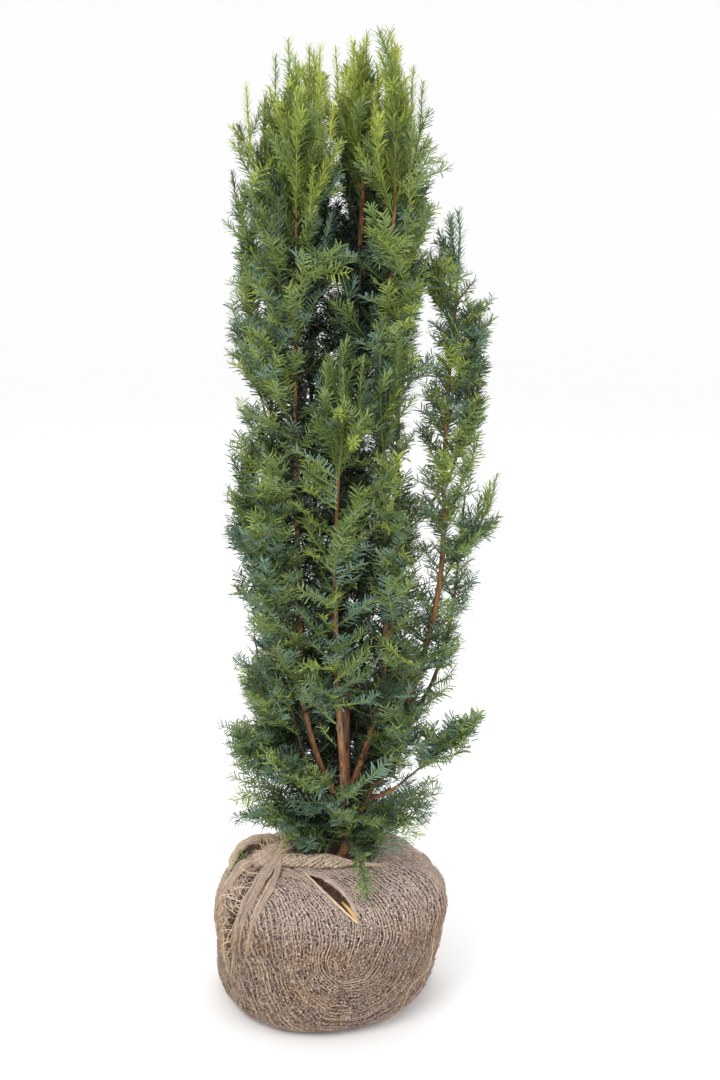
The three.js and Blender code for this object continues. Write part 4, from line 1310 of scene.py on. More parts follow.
def twig_material(name, first, second):
    """Young yew shoot: smooth green skin that turns to thin brown bark, ridged along the shoot."""
    material, tree, place = new_material(name)
    patches = grain(tree, place, 0.006, 3.0)
    surface(tree, mixed(tree, patches, first, second), 0.62, Normal=bumps(tree, patches, 0.4, 0.0004))
    return material


MOST_NEEDLES = 31000  # in one piece, which keeps it under 200,000 triangles


def grouped(twigs, spacing):
    """The twigs in groups that each carry at most MOST_NEEDLES needles, from the foot upwards."""
    twigs = sorted(twigs, key=lambda twig: twig.points[0][2])
    counts = [path_length(twig.points) / spacing / closeness(twig) + 1 for twig in twigs]
    groups = max(1, math.ceil(sum(counts) / MOST_NEEDLES))
    made, running = [[] for _ in range(groups)], 0
    for twig, count in zip(twigs, counts):
        made[min(groups - 1, int(running / sum(counts) * groups))].append(twig)
        running += count
    return made


def is_woody(twig):
    """True for a mass's own stem and for the strong shoots inside the crown, which have turned brown."""
    return twig.old or (twig.thick[0] > 1.4 and twig.tone in ("deep", "inner"))


TOP_SHOOTS = 104  # that close the crown's top


def all_twigs(settings):
    """Every twig of the plant, with its tone."""
    twigs = [twig for mass in foliage_masses() for twig in mass_twigs(mass, settings.shoots)]
    for limb in LIMBS:
        closer = 0.6 if limb["name"] == "trunk" else 1
        twigs += limb_sprays(limb, closer * settings.spray_spacing / MM)
        twigs += limb_sprays(limb, 0.55 * settings.spray_spacing / MM, short=True)
    twigs += leader_twigs() + top_twigs(TOP_SHOOTS)
    return give_tones(within_reach(twigs) + foot_twigs() + hanging_twigs())


class SAPLING_OT_foliage(bpy.types.Operator):
    """Grow the twigs, needles and buds of every mass of foliage"""

    bl_idname = "sapling.foliage"
    bl_label = "Foliage"

    def execute(self, context):
        settings = context.scene.sapling_foliage
        twigs = all_twigs(settings)
        needle, bud = needle_copy(settings), bud_copy()
        along, skin = along_twigs_tree(), skin_tree()
        for tone in ("inner", "deep", "blue", "leaf", "fresh", "lime"):
            new = tone in ("fresh", "lime")
            colour = opaque(getattr(settings, tone))
            finish = needle_material(f"yew_needle_{tone}", colour, 0.42 if new else 0.31)
            chosen = [twig for twig in twigs if twig.tone == tone]
            for number, group in enumerate(grouped(chosen, settings.pitch / MM), 1):
                piece = twig_lines(f"needles_{tone}_{number}", group)
                bake_tree(
                    piece,
                    along,
                    Copy=needle,
                    Spacing=settings.pitch,
                    Lean=settings.lean,
                    Lift=0.22,
                    Share=1.0,
                    Seed=settings.seed + number,
                    Finish=finish,
                )
                dressed(piece, "foliage_new" if new else "foliage")
        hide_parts(*sorted(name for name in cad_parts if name.startswith("foliage_")))
        for name, woody, colours in (
            ("twigs_green", False, ("#8c9a4a", "#6c7f40")),
            ("twigs_brown", True, ("#6b4a35", "#5c5a3c")),
        ):
            finish = twig_material(f"yew_{name}", *map(linear, colours))
            lines = twig_lines(name, [twig for twig in twigs if is_woody(twig) == woody])
            dressed(bake_tree(lines, skin, Sides=4, Finish=finish), "bark" if woody else "foliage")
        buds = twig_lines("buds", [twig for twig in twigs if twig.tone in ("leaf", "deep", "fresh", "blue")])
        finish = twig_material("yew_bud", opaque(settings.bud), linear("#8c8a3a"))
        bake_tree(
            buds, along, Copy=bud, Spacing=0.008, Lean=1.0, Lift=0.3, Share=0.25, Seed=9, Finish=finish
        )
        dressed(buds, "foliage_new")
        for copy in (needle, bud):
            bpy.data.objects.remove(copy)
        return {"FINISHED"}


# ---------------------------------------------------------------- Trunk, stems and boughs


def bark_material(settings):
    """Yew bark: thin plates that flake off along the limb, grey brown over reddish and orange brown."""
    material, tree, place = new_material("yew_bark")
    drawn = add(tree, "ShaderNodeMapping", {"Vector": place, "Scale": (1, 1, 0.14)}).outputs[0]
    plates = grain(tree, drawn, 0.0042, 5.0, 0.62)
    red, fresh, grey = map(opaque, (settings.bark, settings.fresh_bark, settings.grey_bark))
    tint = mixed(tree, ramp(tree, plates, 0.42, 0.6), red, fresh)
    tint = mixed(tree, ramp(tree, grain(tree, place, 0.045, 3.0), 0.48, 0.66, 0.75), tint, grey)
    # The grooves are painted dark brown: painted shade in the bark's grooves.
    tint = mixed(tree, painted(tree, "groove"), tint, linear("#553022"))
    surface(tree, tint, 0.78, Normal=bumps(tree, plates, 0.7, 0.0006))
    return material


def bark_skin(limb, relief):
    """A limb's skin with plates and grooves that run along it, and a swelling at each old twig."""
    length = path_length(limb["path"])
    steps = max(24, int(length / 3.2))
    sides = 22 if limb["name"] == "trunk" else 16
    path = curve_through(limb["path"][::2] if len(limb["path"]) > 8 else limb["path"], steps)
    path[0], path[-1] = limb["path"][0], limb["path"][-1]
    radii = limb_radius(limb, np.linspace(0, 1, steps))
    order = ALL_LIMBS.index(limb) + 1
    knots = [(chance(order, k, 91), 2 * math.pi * chance(order, k, 92)) for k in range(int(length / 38))]
    angles = 2 * math.pi * np.arange(sides) / sides
    offsets = np.empty((steps, sides, 2))
    grooves = np.empty((steps, sides))
    for i, (share, radius) in enumerate(zip(np.linspace(0, 1, steps), radii)):
        for k, angle in enumerate(angles):
            where = Vector((2.1 * math.cos(angle), 2.1 * math.sin(angle), share * length / 26 + 9 * order))
            plate = noise.noise(where) + 0.5 * noise.noise(where * 2.7)
            swell = sum(
                math.exp(-(((share - at) * length / 5) ** 2)) * max(0, math.cos(angle - turn)) ** 2
                for at, turn in knots
                if abs(share - at) * length < 12
            )
            root = 0.0
            if limb["name"] == "trunk":
                root = 0.28 * max(0, 1 - share * length / 34) * math.cos(3 * angle + 0.6)
            grown = radius * (1 + root) + relief / MM * plate + 1.1 * swell * radius / 5
            offsets[i, k] = grown * math.cos(angle), grown * math.sin(angle)
            # How deep the groove lies, which the bark material paints dark as shade.
            grooves[i, k] = smooth(-plate, 0.12, 0.5)
    points, faces = swept(path, offsets, frames_along)
    points[-2:] = path[0], path[-1]
    return points, faces, np.r_[grooves.ravel(), 0, 0]


class SAPLING_OT_limbs(bpy.types.Operator):
    """Make the trunk, the eight stems and the four low boughs with their bark"""

    bl_idname = "sapling.limbs"
    bl_label = "Limbs"

    def execute(self, context):
        settings = context.scene.sapling_limbs
        finish = bark_material(settings)
        for limb in ALL_LIMBS:
            points, faces, grooves = bark_skin(limb, settings.relief)
            piece = mesh_object(f"{limb['name']}_bark", points, faces, finish)
            attribute(piece.data, "groove", grooves)
            dressed(piece, "bark", limb["name"])
        return {"FINISHED"}


# ---------------------------------------------------------------- Root ball


def ball_radius(z):
    """Radius of the ball at heights, before its lobes."""
    z = np.asarray(z, float)
    u = np.clip((z - BALL_WIDEST) / (BALL_DOME - BALL_WIDEST), 0, 1)
    above = BALL_RADIUS * (1 - u**TOP_POWER) ** (1 / SIDE_POWER)
    u = np.clip(1 - z / BALL_WIDEST, 0, 1)
    v = np.clip(1 - z / CORNER_RISE, 0, 1)
    below = BALL_RADIUS - SIDE_TAPER * u**1.5 - CORNER_IN * (1 - np.sqrt(1 - v * v))
    return np.where(z > BALL_WIDEST, above, below)


def ball_top(r):
    u = (1 - np.minimum(1, r / BALL_RADIUS) ** SIDE_POWER) ** (1 / TOP_POWER)
    return np.minimum(BALL_SEAT, BALL_WIDEST + (BALL_DOME - BALL_WIDEST) * u)


def lobe_share(angle, z):
    share = np.ones_like(angle)
    for count, depth, phase, twist in BALL_LOBES:
        share = share * (1 + depth * np.sin(count * angle + phase + z * twist))
    return share


def ball_point(angle, z, grow=0.0):
    """A point on the ball's side at an angle in radians, standing off it by a distance."""
    angle, z = np.asarray(angle, float), np.asarray(z, float)
    r = ball_radius(z) * lobe_share(angle, z) + grow
    shift = FOOT_SHIFT * np.maximum(0, 1 - z / BALL_WIDEST)
    return np.stack([shift + r * np.cos(angle), r * np.sin(angle), z * np.ones_like(angle)], axis=-1)


def on_ball(azimuth, z, stand=0.0):
    return ball_point(math.radians(azimuth), z, stand)


SLIT_FROM = np.array([-38, -56, float(ball_top(68))])
SLIT_TO = np.array([40, -148, 175.0])
SWIRL = np.array([27, -163, 121.0])  # where the yarns turn round below the slit
KNOT_AT = np.array([-86, -34, 214.0])
YARN_LINE = curve_through([KNOT_AT, SLIT_FROM, (4, -104, 202), SLIT_TO, (37, -160, 148), SWIRL], 56)
TROUGH = [(-96, -42, 206), (-106, -56, 199), (-124, -92, 178), (-136, -101, 146), (-140, -99, 104)]
TROUGH = curve_through(TROUGH, 40)  # the gap between the gathered folds, sunk and painted as soil for its shade
TRUNK_SOIL_AND_SHADE = 46  # radius of the soil round the stems, which is partly painted shade under the foliage


def line_distance(points, line, softness=16):
    """Distance from each point to a line of points, without a crease where two stretches are as near."""
    total = np.zeros(len(points))
    for start, end in zip(line[:-1], line[1:]):
        along = end - start
        t = np.clip((points - start) @ along / along.dot(along), 0, 1)
        apart = np.linalg.norm(points - start - t[:, None] * along, axis=1)
        total += (np.maximum(apart, 0.3) / 100) ** -softness
    return 100 * (total / 2) ** (-1 / softness)


def on_skin(points, stand=0.0):
    """The points moved straight from the ball's middle on to its skin, or that far off it."""
    middle = np.array([0, 0, 100.0])
    way = np.atleast_2d(points) - middle
    low, high = np.full(len(way), 0.2), np.full(len(way), 2.0)
    for _ in range(26):
        half = (low + high) / 2
        x, y, z = (middle + way * half[:, None]).T
        x = x - FOOT_SHIFT * np.maximum(0, 1 - z / BALL_WIDEST)
        side = ball_radius(z) * lobe_share(np.arctan2(y, x), z)
        inside = (z < BALL_SEAT) & (z > 0) & (np.hypot(x, y) < side)
        low, high = np.where(inside, half, low), np.where(inside, high, half)
    return middle + way * low[:, None] + unit(way) * stand


def slit_edge(along, upper, stand=0.0):
    """Points of the slit's upper or lower edge at places along it from -1 to 1."""
    along = np.asarray(along, float)
    _, _, out = slit_place(SLIT_FROM[None])
    across = np.cross(out, unit(SLIT_TO - SLIT_FROM))
    width = (15.5 if upper else -3.2) * (1 - along**2)
    middle = (SLIT_FROM + SLIT_TO) / 2 + along[:, None] * (SLIT_TO - SLIT_FROM) / 2
    return on_skin(middle + width[:, None] * across, stand)


def slit_place(points):
    """Where points lie on the slit: along it from -1 to 1, up across it in mm, and its normal."""
    along = unit(SLIT_TO - SLIT_FROM)
    out = np.array([-0.1, -0.62, 1.0])
    out = unit(out - along * out.dot(along))
    across = np.cross(out, along)
    centre = (SLIT_FROM + SLIT_TO) / 2
    apart = points - centre
    half = np.linalg.norm(SLIT_TO - SLIT_FROM) / 2
    return apart @ along / half, apart @ across, out


def slit_depth(points):
    """1 inside the open slit, 0 outside it, with a steep edge."""
    along, across, _ = slit_place(points)
    room = np.clip(1 - along**2, 0, 1)
    upper, lower = 15.5 * room, -3.0 * room
    middle, half = (upper + lower) / 2, np.maximum(0.1, (upper - lower) / 2)
    near = np.clip(1.15 - np.abs(across - middle) / half, 0, 0.3) / 0.3
    return np.where(np.abs(along) < 1, near * smooth(room, 0.02, 0.2), 0) * (points[:, 2] > 150)


def yarn_flow(points):
    """The quantity that is the same all along a yarn.

    Yarns fan out from the knot, run beside the slit, turn round the swirl and come back over the right
    shoulder. At the back they lie level.
    """
    from_knot = np.linalg.norm(points - KNOT_AT, axis=1)
    fanned = line_distance(points, YARN_LINE, 5) * (200 / (from_knot + 34)) ** 0.62
    return fanned + smooth(points[:, 1], -30, 150) * 0.9 * (points[:, 2] - 100)


def wander(points, size, salt=0.0):
    """Smooth noise at points, with features of the given size in mm."""
    return np.array([noise.noise(Vector(p) / size + Vector((salt, 0, 0))) for p in points])


def cloth_relief(points, flow):
    """Height of the cloth's folds over the ball, in mm."""
    right = smooth(points[:, 0], 10, 90) * smooth(points[:, 2], 20, 60)
    sweep = 1.5 * np.sin(flow / 4.6 + 1.5 * np.sin(points[:, 2] / 31)) * right
    from_knot = np.linalg.norm(points - KNOT_AT, axis=1)
    bearing = np.arctan2(points[:, 1] + 34, points[:, 0] + 86) + 0.002 * from_knot
    pleats = np.sin(19 * bearing) + 0.5 * np.sin(33 * bearing + 1)
    pleats = 1.9 * pleats * np.exp(-from_knot / 95) * smooth(from_knot, 10, 40)
    return sweep + pleats + 2.2 * (wander(points, 34) + 0.5 * wander(points, 13))


def jute_material(settings, name, kind):
    """Jute cloth: coarse loose yarn, matt and hairy, brown to greyish, with dark soil between the yarns.

    The kind is cloth, where soil shows between yarns that follow the attribute flow, hem, a paler cloth,
    yarn, whose attribute pale makes single yarns lighter, or straw, for the bleached cut ends.
    """
    material, tree, place = new_material(name)
    spots = grain(tree, place, 0.0025, 4.0)
    straw = opaque(settings.straw)
    # Brown and greyish patches, rusty ones, pale threads and worn dark places.
    patches = ramp(tree, grain(tree, place, 0.06, 4.0, 0.6), 0.42, 0.58)
    tint = mixed(tree, patches, opaque(settings.yarn), opaque(settings.grey_yarn))
    rusty = ramp(tree, grain(tree, place, 0.033, 4.0, 0.7), 0.52, 0.66, 0.8)
    tint = mixed(tree, rusty, tint, opaque(settings.rust))
    tint = mixed(tree, ramp(tree, spots, 0.44, 0.66, 0.85), tint, straw)
    worn = ramp(tree, grain(tree, place, 0.009, 5.0, 0.7), 0.5, 0.36, 0.6)
    tint = mixed(tree, worn, tint, linear("#5c4338"))
    # The top of the ball is painted paler: partly sun-bleached yarn, partly painted light where the light from
    # above falls.
    high = add(tree, "ShaderNodeSeparateXYZ", {0: place}).outputs[2]
    tint = mixed(tree, ramp(tree, high, 0.14, 0.19, 0.85), tint, linear("#e1ccc2"))
    height = spots
    if kind == "straw":
        tint = mixed(tree, ramp(tree, spots, 0.3, 0.62), mixed(tree, 0.55, tint, straw), straw)
    if kind == "yarn":
        tint = mixed(tree, painted(tree, "pale"), tint, straw)
    if kind == "hem":
        tint = mixed(tree, 0.6, tint, straw)
    if kind in ("cloth", "hem"):
        phase = maths(tree, "MULTIPLY", painted(tree, "flow"), 2 * math.pi / (settings.yarn_spacing / MM))
        wave = maths(tree, "SINE", phase)
        least = 0.44 if kind == "cloth" else 0.36
        covered = maths(tree, "ADD", maths(tree, "MULTIPLY", wave, 0.07), spots)
        tint = mixed(tree, ramp(tree, covered, least, least + 0.22), opaque(settings.soil), tint)
        # Soil crumbs where bare is 1: real soil in the slit and round the stems, and painted shade in the gap
        # between the folds, under the folds' edges and inside the ear.
        crumbs_and_shade = mixed(tree, ramp(tree, spots, 0.4, 0.7), linear("#2c1f15"), linear("#7a5c42"))
        tint = mixed(tree, painted(tree, "bare"), tint, crumbs_and_shade)
        height = maths(tree, "ADD", maths(tree, "MULTIPLY", wave, 0.12), height)
    shader = surface(tree, tint, 0.92, Normal=bumps(tree, height, 0.6, 0.0008))
    shader.inputs["Sheen Weight"].default_value = 0.06
    shader.inputs["Sheen Roughness"].default_value = 0.6
    return material


def ball_skin():
    """The cloth over the ball as one closed skin, finer on its front, with its flow, and with its bare soil
    and painted shade.
    """
    turns = np.linspace(-1, 1, 350, endpoint=False)
    angles = math.radians(-80) + math.pi * (0.62 * turns + 0.38 * turns**3)
    rings = [ball_point(angles, z) for z in np.r_[np.linspace(0, 36, 16), np.linspace(37.5, 176, 74)]]
    for r in np.linspace(float(ball_radius(177.5)), 6, 74):
        flat = np.stack([r * np.cos(angles), r * np.sin(angles), np.zeros_like(angles)], -1)
        flat[:, :2] *= lobe_share(angles, 180.0)[:, None] ** (r / 140)
        flat[:, 2] = ball_top(r)
        rings.append(flat)
    rings = np.array([rings[0] * (0.35, 0.35, 0), rings[0] * (0.8, 0.8, 0), *rings])
    points = rings.reshape(-1, 3)
    outwards = unit((points - (0, 0, 120)) * (1, 1, 1.4))
    flow = yarn_flow(points) + 2.4 * wander(points, 28, 3.0) + 0.8 * wander(points, 9, 5.0)
    relief = cloth_relief(points, flow) * smooth(points[:, 2], 2, 26)
    from_trunk = np.hypot(points[:, 0] - TRUNK_FOOT[0], points[:, 1] - TRUNK_FOOT[1])
    relief *= 0.35 + 0.65 * smooth(from_trunk, 40, 90)
    slit = slit_depth(points)
    # The trough is sunk and painted as soil: painted shade in the gap between the gathered folds.
    trough = 1 - smooth(line_distance(points, TROUGH), 8, 16)
    # Soil round the stems: partly the real soil, partly painted shade under the low foliage.
    soil = 1 - smooth(from_trunk + 9 * wander(points, 15, 8.0), TRUNK_SOIL_AND_SHADE - 8, TRUNK_SOIL_AND_SHADE)
    soil = soil * (points[:, 2] > 150)
    _, _, out = slit_place(points)
    points = points + outwards * (relief - 13 * trough)[:, None] - out * 13 * slit[:, None]
    points = np.vstack([points, [[0, 0, 0]], [[0, 0, BALL_SEAT]]])
    bare = np.maximum.reduce([slit, trough, soil])
    return points, skin_faces(*rings.shape[:2]), np.r_[flow, 0, 0], np.r_[bare, 0, 1]


def yarn_ways(points):
    """The direction of the yarns at points of the ball."""
    here = yarn_flow(points)
    slope = np.column_stack([yarn_flow(points + step) - here for step in np.eye(3)])
    return unit(np.cross(points - (0, 0, 120), slope))


def level_lines(points, faces, values, at):
    """The lines on a skin along which its values equal a number, each as an array of points."""
    triangles = np.array([(f[0], f[j], f[j + 1]) for f in faces for j in range(1, len(f) - 1)])
    cut = (values[triangles] > at).sum(1)
    crossing = {}
    neighbours = {}
    for triangle in triangles[(cut == 1) | (cut == 2)]:
        ends = []
        for a, b in ((0, 1), (1, 2), (2, 0)):
            first, second = sorted((int(triangle[a]), int(triangle[b])))
            if (values[first] > at) != (values[second] > at):
                ends.append((first, second))
                if ends[-1] not in crossing:
                    share = (at - values[first]) / (values[second] - values[first])
                    crossing[ends[-1]] = between(points[first], points[second], share)
        neighbours.setdefault(ends[0], []).append(ends[1])
        neighbours.setdefault(ends[1], []).append(ends[0])
    made, used = [], set()
    for start in sorted(neighbours, key=lambda edge: (len(neighbours[edge]) > 1, edge)):
        if start in used:
            continue
        line, edge = [], start
        while edge is not None:
            used.add(edge)
            line.append(crossing[edge])
            edge = next((other for other in neighbours[edge] if other not in used), None)
        if len(line) > 3:
            made.append(np.array(line))
    return made


def yarn_lines(points, faces, flow, bare, spacing):
    """The yarns of the cloth: lines of equal flow, broken on the bare soil and on the painted shade, with a
    little wander.
    """
    sloped = [f for f in faces if len(f) == 4 and max(points[i][2] for i in f) > 4]
    triangles = [f for f in sloped if np.ptp(flow[list(f)]) < 14]
    lines, pale, thick = [], [], []
    from_skin = unit((points - (0, 0, 120)) * (1, 1, 1.4))
    raised = points + 0.35 * from_skin
    tagged = np.column_stack([raised, bare])
    for n in range(int(flow.min() / spacing), int(flow.max() / spacing) + 1):
        at = spacing * (n + 0.5 * (chance(n, 81) - 0.5))
        strong = chance(n, 82)
        for line in level_lines(tagged, triangles, flow, at):
            aside = Vector((n * 3.1, 0, 0))
            worn = np.array([noise.noise(Vector(point[:3]) / 21 + aside) for point in line])
            parts = np.split(line, np.flatnonzero((line[:, 3] > 0.4) | (worn > 0.3)))
            for part in parts:
                length = path_length(part[:, :3])
                if len(part) < 4 or length < 16:
                    continue
                path = spaced(part[:, :3], max(3, round(length / 5.6)))
                path += 1.1 * np.column_stack([wander(path, 13, salt + 0.9 * n) for salt in (1.0, 4.0, 7.0)])
                path[:, 2] = np.maximum(path[:, 2], 0.9)
                lines.append(path)
                pale.append(np.clip(0.9 * strong**2 + 0.35 * wander(path, 24, n * 1.7), 0, 1))
                thick.append((0.3 + 0.34 * strong + 0.14 * wander(path, 8, n * 2.3)) * MM)
    return lines, pale, thick


CLOTH_AREA = 0.3  # of the ball, in square metres
FIBRES_ABOVE = 0.0105  # height in metres from which fibres lie on the cloth
# Length, radius and bend of a fibre in mm, then its across, stray and tip, and the kind's share of all.
FIBRE_KINDS = (
    (13, 0.33, 1.2, 0.0, 0.6, 0.2, 0.42),
    (8, 0.3, 0.8, 1.0, 0.8, 0.15, 0.34),
    (15, 0.21, 3.6, 0.3, 2.0, 0.9, 0.24),
)


def fold_cover(piece):
    """Points in mm, faces, ways along the yarns and bare values of a fold, knot or ear."""
    mesh = piece.data
    places = stored(mesh.vertices, "co", 3) / MM
    ways = np.zeros_like(places)
    for face in mesh.polygons:
        if len(face.vertices) == 4:
            a, _, _, d = face.vertices
            ways[a] = places[d] - places[a]
    bare = stored(mesh.attributes["bare"].data, "value")
    return places, [tuple(face.vertices) for face in mesh.polygons], unit(ways), bare


def fibre_copy(length, thick, bend):
    """One fibre along +Z as a three-sided closed skin of 12 triangles, bent aside and off the cloth."""
    t = np.array([0, 0.3, 0.72, 1])
    path = np.column_stack([bend * t**2, 0.5 + bend * 0.35 * np.sin(math.pi * t), length * (t - 0.5)])
    turns = 2 * math.pi * np.arange(3) / 3
    ring = thick * np.column_stack([np.cos(turns), np.sin(turns), np.zeros(3)])
    points = np.vstack([path[:1], path[1] + ring, path[2] + 0.85 * ring, path[3:]])
    faces = []
    for k in range(3):
        a, b = 1 + k, 1 + (k + 1) % 3
        faces += [[0, b, a], [a, b, b + 3, a + 3], [7, a + 3, b + 3]]
    return mesh_object("fibre_copy", points, faces)


def strew_fibres(tree, name, skin, slot, fibres, seed, closer=1.0, longer=1.0, thicker=1.0):
    """Strews each kind of fibre over a skin, as a piece of its own."""
    for number, (length, radius, bend, across, stray, tip, share) in enumerate(FIBRE_KINDS, 1):
        copy = fibre_copy(longer * length, thicker * radius, bend)
        piece = bake_tree(
            placed(f"{name}_{number}", skin.copy()),
            tree,
            Copy=copy,
            Density=closer * share * fibres / CLOTH_AREA,
            Above=FIBRES_ABOVE,
            Across=across,
            Stray=stray,
            Tip=tip,
            Seed=seed + number,
            Finish=bpy.data.materials["jute_yarn"],
        )
        bpy.data.objects.remove(copy)
        dressed(piece, slot)


def cloth_object(name, finish, points, faces, flow, bare):
    """A piece of the cloth with its flow, and with where it shows soil and painted shade."""
    made = mesh_object(name, points, faces, finish)
    attribute(made.data, "flow", flow)
    attribute(made.data, "bare", bare)
    return made


def fold_piece(name, finish, path, half, high, lip=1, pleats=3.3, key=1):
    """A fold of cloth along a path: a long slope on one side and a steep lip on the other.

    half and high give the fold's half width and height at even steps along it. The lip is on the right of
    the path where it is 1, on the left where it is -1.
    """
    path = curve_through(path, 110)
    along = np.linspace(0, 1, len(path))
    half = np.interp(along, np.linspace(0, 1, len(half)), half)[:, None]
    high = np.interp(along, np.linspace(0, 1, len(high)), high)[:, None]
    u = np.linspace(0, 1, 26)[None]
    waves = np.sin(2 * math.pi * (pleats * u + 0.35 * np.sin(9 * along[:, None] + key)) + 2 * key)
    waves += 0.8 * np.sin(2 * math.pi * (2.3 * pleats * u - 1.4 * along[:, None]) + key)
    top_x = half * (2.6 * u - 1.6) + 0.9 * np.sin(23 * along[:, None] + 5 * u + key)
    top_z = high * np.sin(math.pi * u**1.7) ** 0.8 + waves * 0.45 * high * np.sin(math.pi * u) - 0.8
    under = np.linspace(0.8, -1.45, 7)[None]
    under_x, under_z = half * under, np.full_like(half * under, -3.2)
    across = np.hstack([top_x, under_x]) * lip
    off = np.hstack([top_z, under_z])
    sections = np.stack([across, off], -1)
    sections = sections[:, ::-1] if lip > 0 else sections
    points, faces = swept(path, sections)
    points += 1.7 * np.column_stack([wander(points, 12, salt) for salt in (2.0, 5.0, 8.0)])
    steps = np.linalg.norm(np.diff(sections, axis=1, append=sections[:, :1]), axis=2)
    flow = np.cumsum(steps, axis=1) * (10 / half) ** 0.5
    # The fold's faces that lie low against the ball are painted as soil: painted shade under the fold.
    low = smooth(-sections[..., 1], 0.0, 2.6)
    flow, bare = np.r_[flow.ravel(), 0, 0], np.r_[0.9 * low.ravel(), 1, 1]
    return cloth_object(name, finish, points, faces, flow, bare)


# The folds that run down from the knot: points near it, then azimuths and heights on the ball, half widths,
# heights, and the lip, pleats and key.
FOLDS = {
    "gather_inner": (
        [(-80, -46, 213), (-92, -64, 207), (-110, -92, 187)],
        [(221, 150), (220, 105), (218, 60)],
        (4, 5.5, 6.5, 6, 5, 3),
        (4.5, 7, 7, 6, 4, 1.5),
        (-1, 3.1, 2),
    ),
    "gather_outer": (
        [(-98, -30, 214), (-122, -30, 203), (-141, -44, 184)],
        [(204, 150), (208, 115), (212, 66)],
        (5, 6.5, 7, 6.5, 5, 3),
        (5, 7, 7, 6, 4, 1.5),
        (1, 3.3, 5),
    ),
    "gather_front": (
        [(-74, -52, 212), (-80, -76, 204)],
        [(229, 176), (229, 140), (227, 96)],
        (2.5, 4, 5, 4, 2.5),
        (2.5, 4, 4, 3, 0.8),
        (-1, 2.2, 11),
    ),
    "gather_side": (
        [(-104, -20, 211), (-128, -14, 197)],
        [(192, 170), (195, 130), (199, 84)],
        (3, 4.5, 5, 4, 2.5),
        (2.5, 4, 4, 3, 0.8),
        (1, 2.4, 14),
    ),
}


def ear_piece(name, finish):
    """The corner of the cloth that stands up behind the knot: a hood that is open to the front."""
    places = [(-143, -8, 181), (-131, 12, 191), (-112, 27, 199), (-90, 34, 204), (-66, 34, 205)]
    path = curve_through(places, 90)
    outer = [(-9, -3), (-11, 4), (-11, 10), (-8.5, 15.5), (-3.5, 19), (2.5, 19.6), (7.5, 17), (10, 13)]
    outer += [(10.6, 10)]
    inner = [(8.8, 10.4), (7, 14.2), (3, 16.8), (-2.5, 16), (-6.4, 12.4), (-8, 7), (-7.6, 2), (-5, -1)]
    inner += [(4, -2), (4, -3.4)]
    ring = np.array(outer + inner, float)
    along = np.linspace(0, 1, len(path))
    grown = 0.22 + 0.78 * np.sin(math.pi * np.clip(along * 1.04, 0, 1)) ** 0.7
    ring = (ring * (-1, 1))[::-1]
    sections = ring[None] * grown[:, None, None] * 1.15
    ruffle = np.sin(26 * along[:, None] + ring[:, 1] / 5) + 0.7 * np.sin(47 * along[:, None] + 1)
    sections[..., 0] += 0.9 * ruffle * grown[:, None] * (ring[:, 1] > 2)
    ruffle = np.sin(33 * along[:, None] + 2 + ring[:, 0] / 4)
    sections[..., 1] += 0.7 * ruffle * grown[:, None] * (ring[:, 1] > 2)
    points, faces = swept(path, sections)
    points += 0.8 * np.column_stack([wander(points, 9, salt) for salt in (2.0, 5.0, 8.0)])
    flow = np.r_[0, np.cumsum(np.linalg.norm(np.diff(ring, axis=0), axis=1))]
    # The hood's inner face is painted as soil: painted shade in its hollow.
    inside = np.r_[np.zeros(len(outer)), 0.2, 0.5, 0.8, np.full(len(inner) - 3, 0.95)][::-1]
    flow, bare = np.r_[np.tile(flow, len(path)), 0, 0], np.r_[np.tile(inside, len(path)), 1, 1]
    return cloth_object(name, finish, points, faces, flow, bare)


def direction(turn, tilt):
    """The unit vector that is turned about the upright and tilted off it."""
    return np.array([math.sin(tilt) * math.cos(turn), math.sin(tilt) * math.sin(turn), math.cos(tilt)])


def knot_piece(name, finish):
    """The knot: a ball of cloth squeezed into folds that turn round it."""
    rows, count = 40, 64
    points, flow = [], []
    for i in range(1, rows):
        tilt = math.pi * i / rows
        for k in range(count):
            turn = 2 * math.pi * k / count
            way = direction(turn, tilt)
            twist = turn * 5 + 4.2 * tilt
            crease = abs(math.sin(twist)) ** 0.6 + 0.35 * abs(math.sin(2.3 * twist + 1))
            swell = 0.8 + 0.25 * crease * math.sin(tilt) + 0.14 * noise.noise(Vector(way) * 1.9)
            points.append(KNOT_AT + way * (23, 18, 16) * swell)
            flow.append(twist * 4)
    points += [KNOT_AT + (0, 0, 14), KNOT_AT - (0, 0, 14)]
    faces = turned(skin_faces(rows - 1, count))
    flow, bare = np.array([*flow, 0, 0]), np.zeros(len(points))
    return cloth_object(name, finish, np.array(points), faces, flow, bare)


def band_piece(name, finish):
    """The rolled hem that runs from the knot past the stems: twisted, creased and flattened."""
    places = [(-72, -37, 216), (-36, -42, 216.5), (4, -47, 217), (38, -48, 216), (72, -46, 211.5)]
    path = curve_through(places, 120)
    turns = 2 * math.pi * np.arange(48) / 48
    along = np.linspace(0, 1, len(path))[:, None]
    grown = 7.2 + 2.2 * np.sin(math.pi * np.clip(along / 0.7, 0, 1)) - 5.4 * smooth(along, 0.58, 0.76)
    grown = grown * (1 - 0.5 * smooth(along, 0.93, 1)) * (1 + 0.1 * np.sin(17 * along))
    twist = turns[None] * 3 + 34 * along
    creased = 0.86 + 0.3 * np.abs(np.sin(1.5 * twist)) + 0.1 * np.sin(2.7 * twist + 9 * along)
    sections = np.stack([grown * creased * np.cos(turns), 0.95 * grown * creased * np.sin(turns)], -1)
    points, faces = swept(path, sections)
    flow, bare = np.r_[(twist * 3.1).ravel(), 0, 0], np.zeros(len(points))
    return cloth_object(name, finish, points, faces, flow, bare)


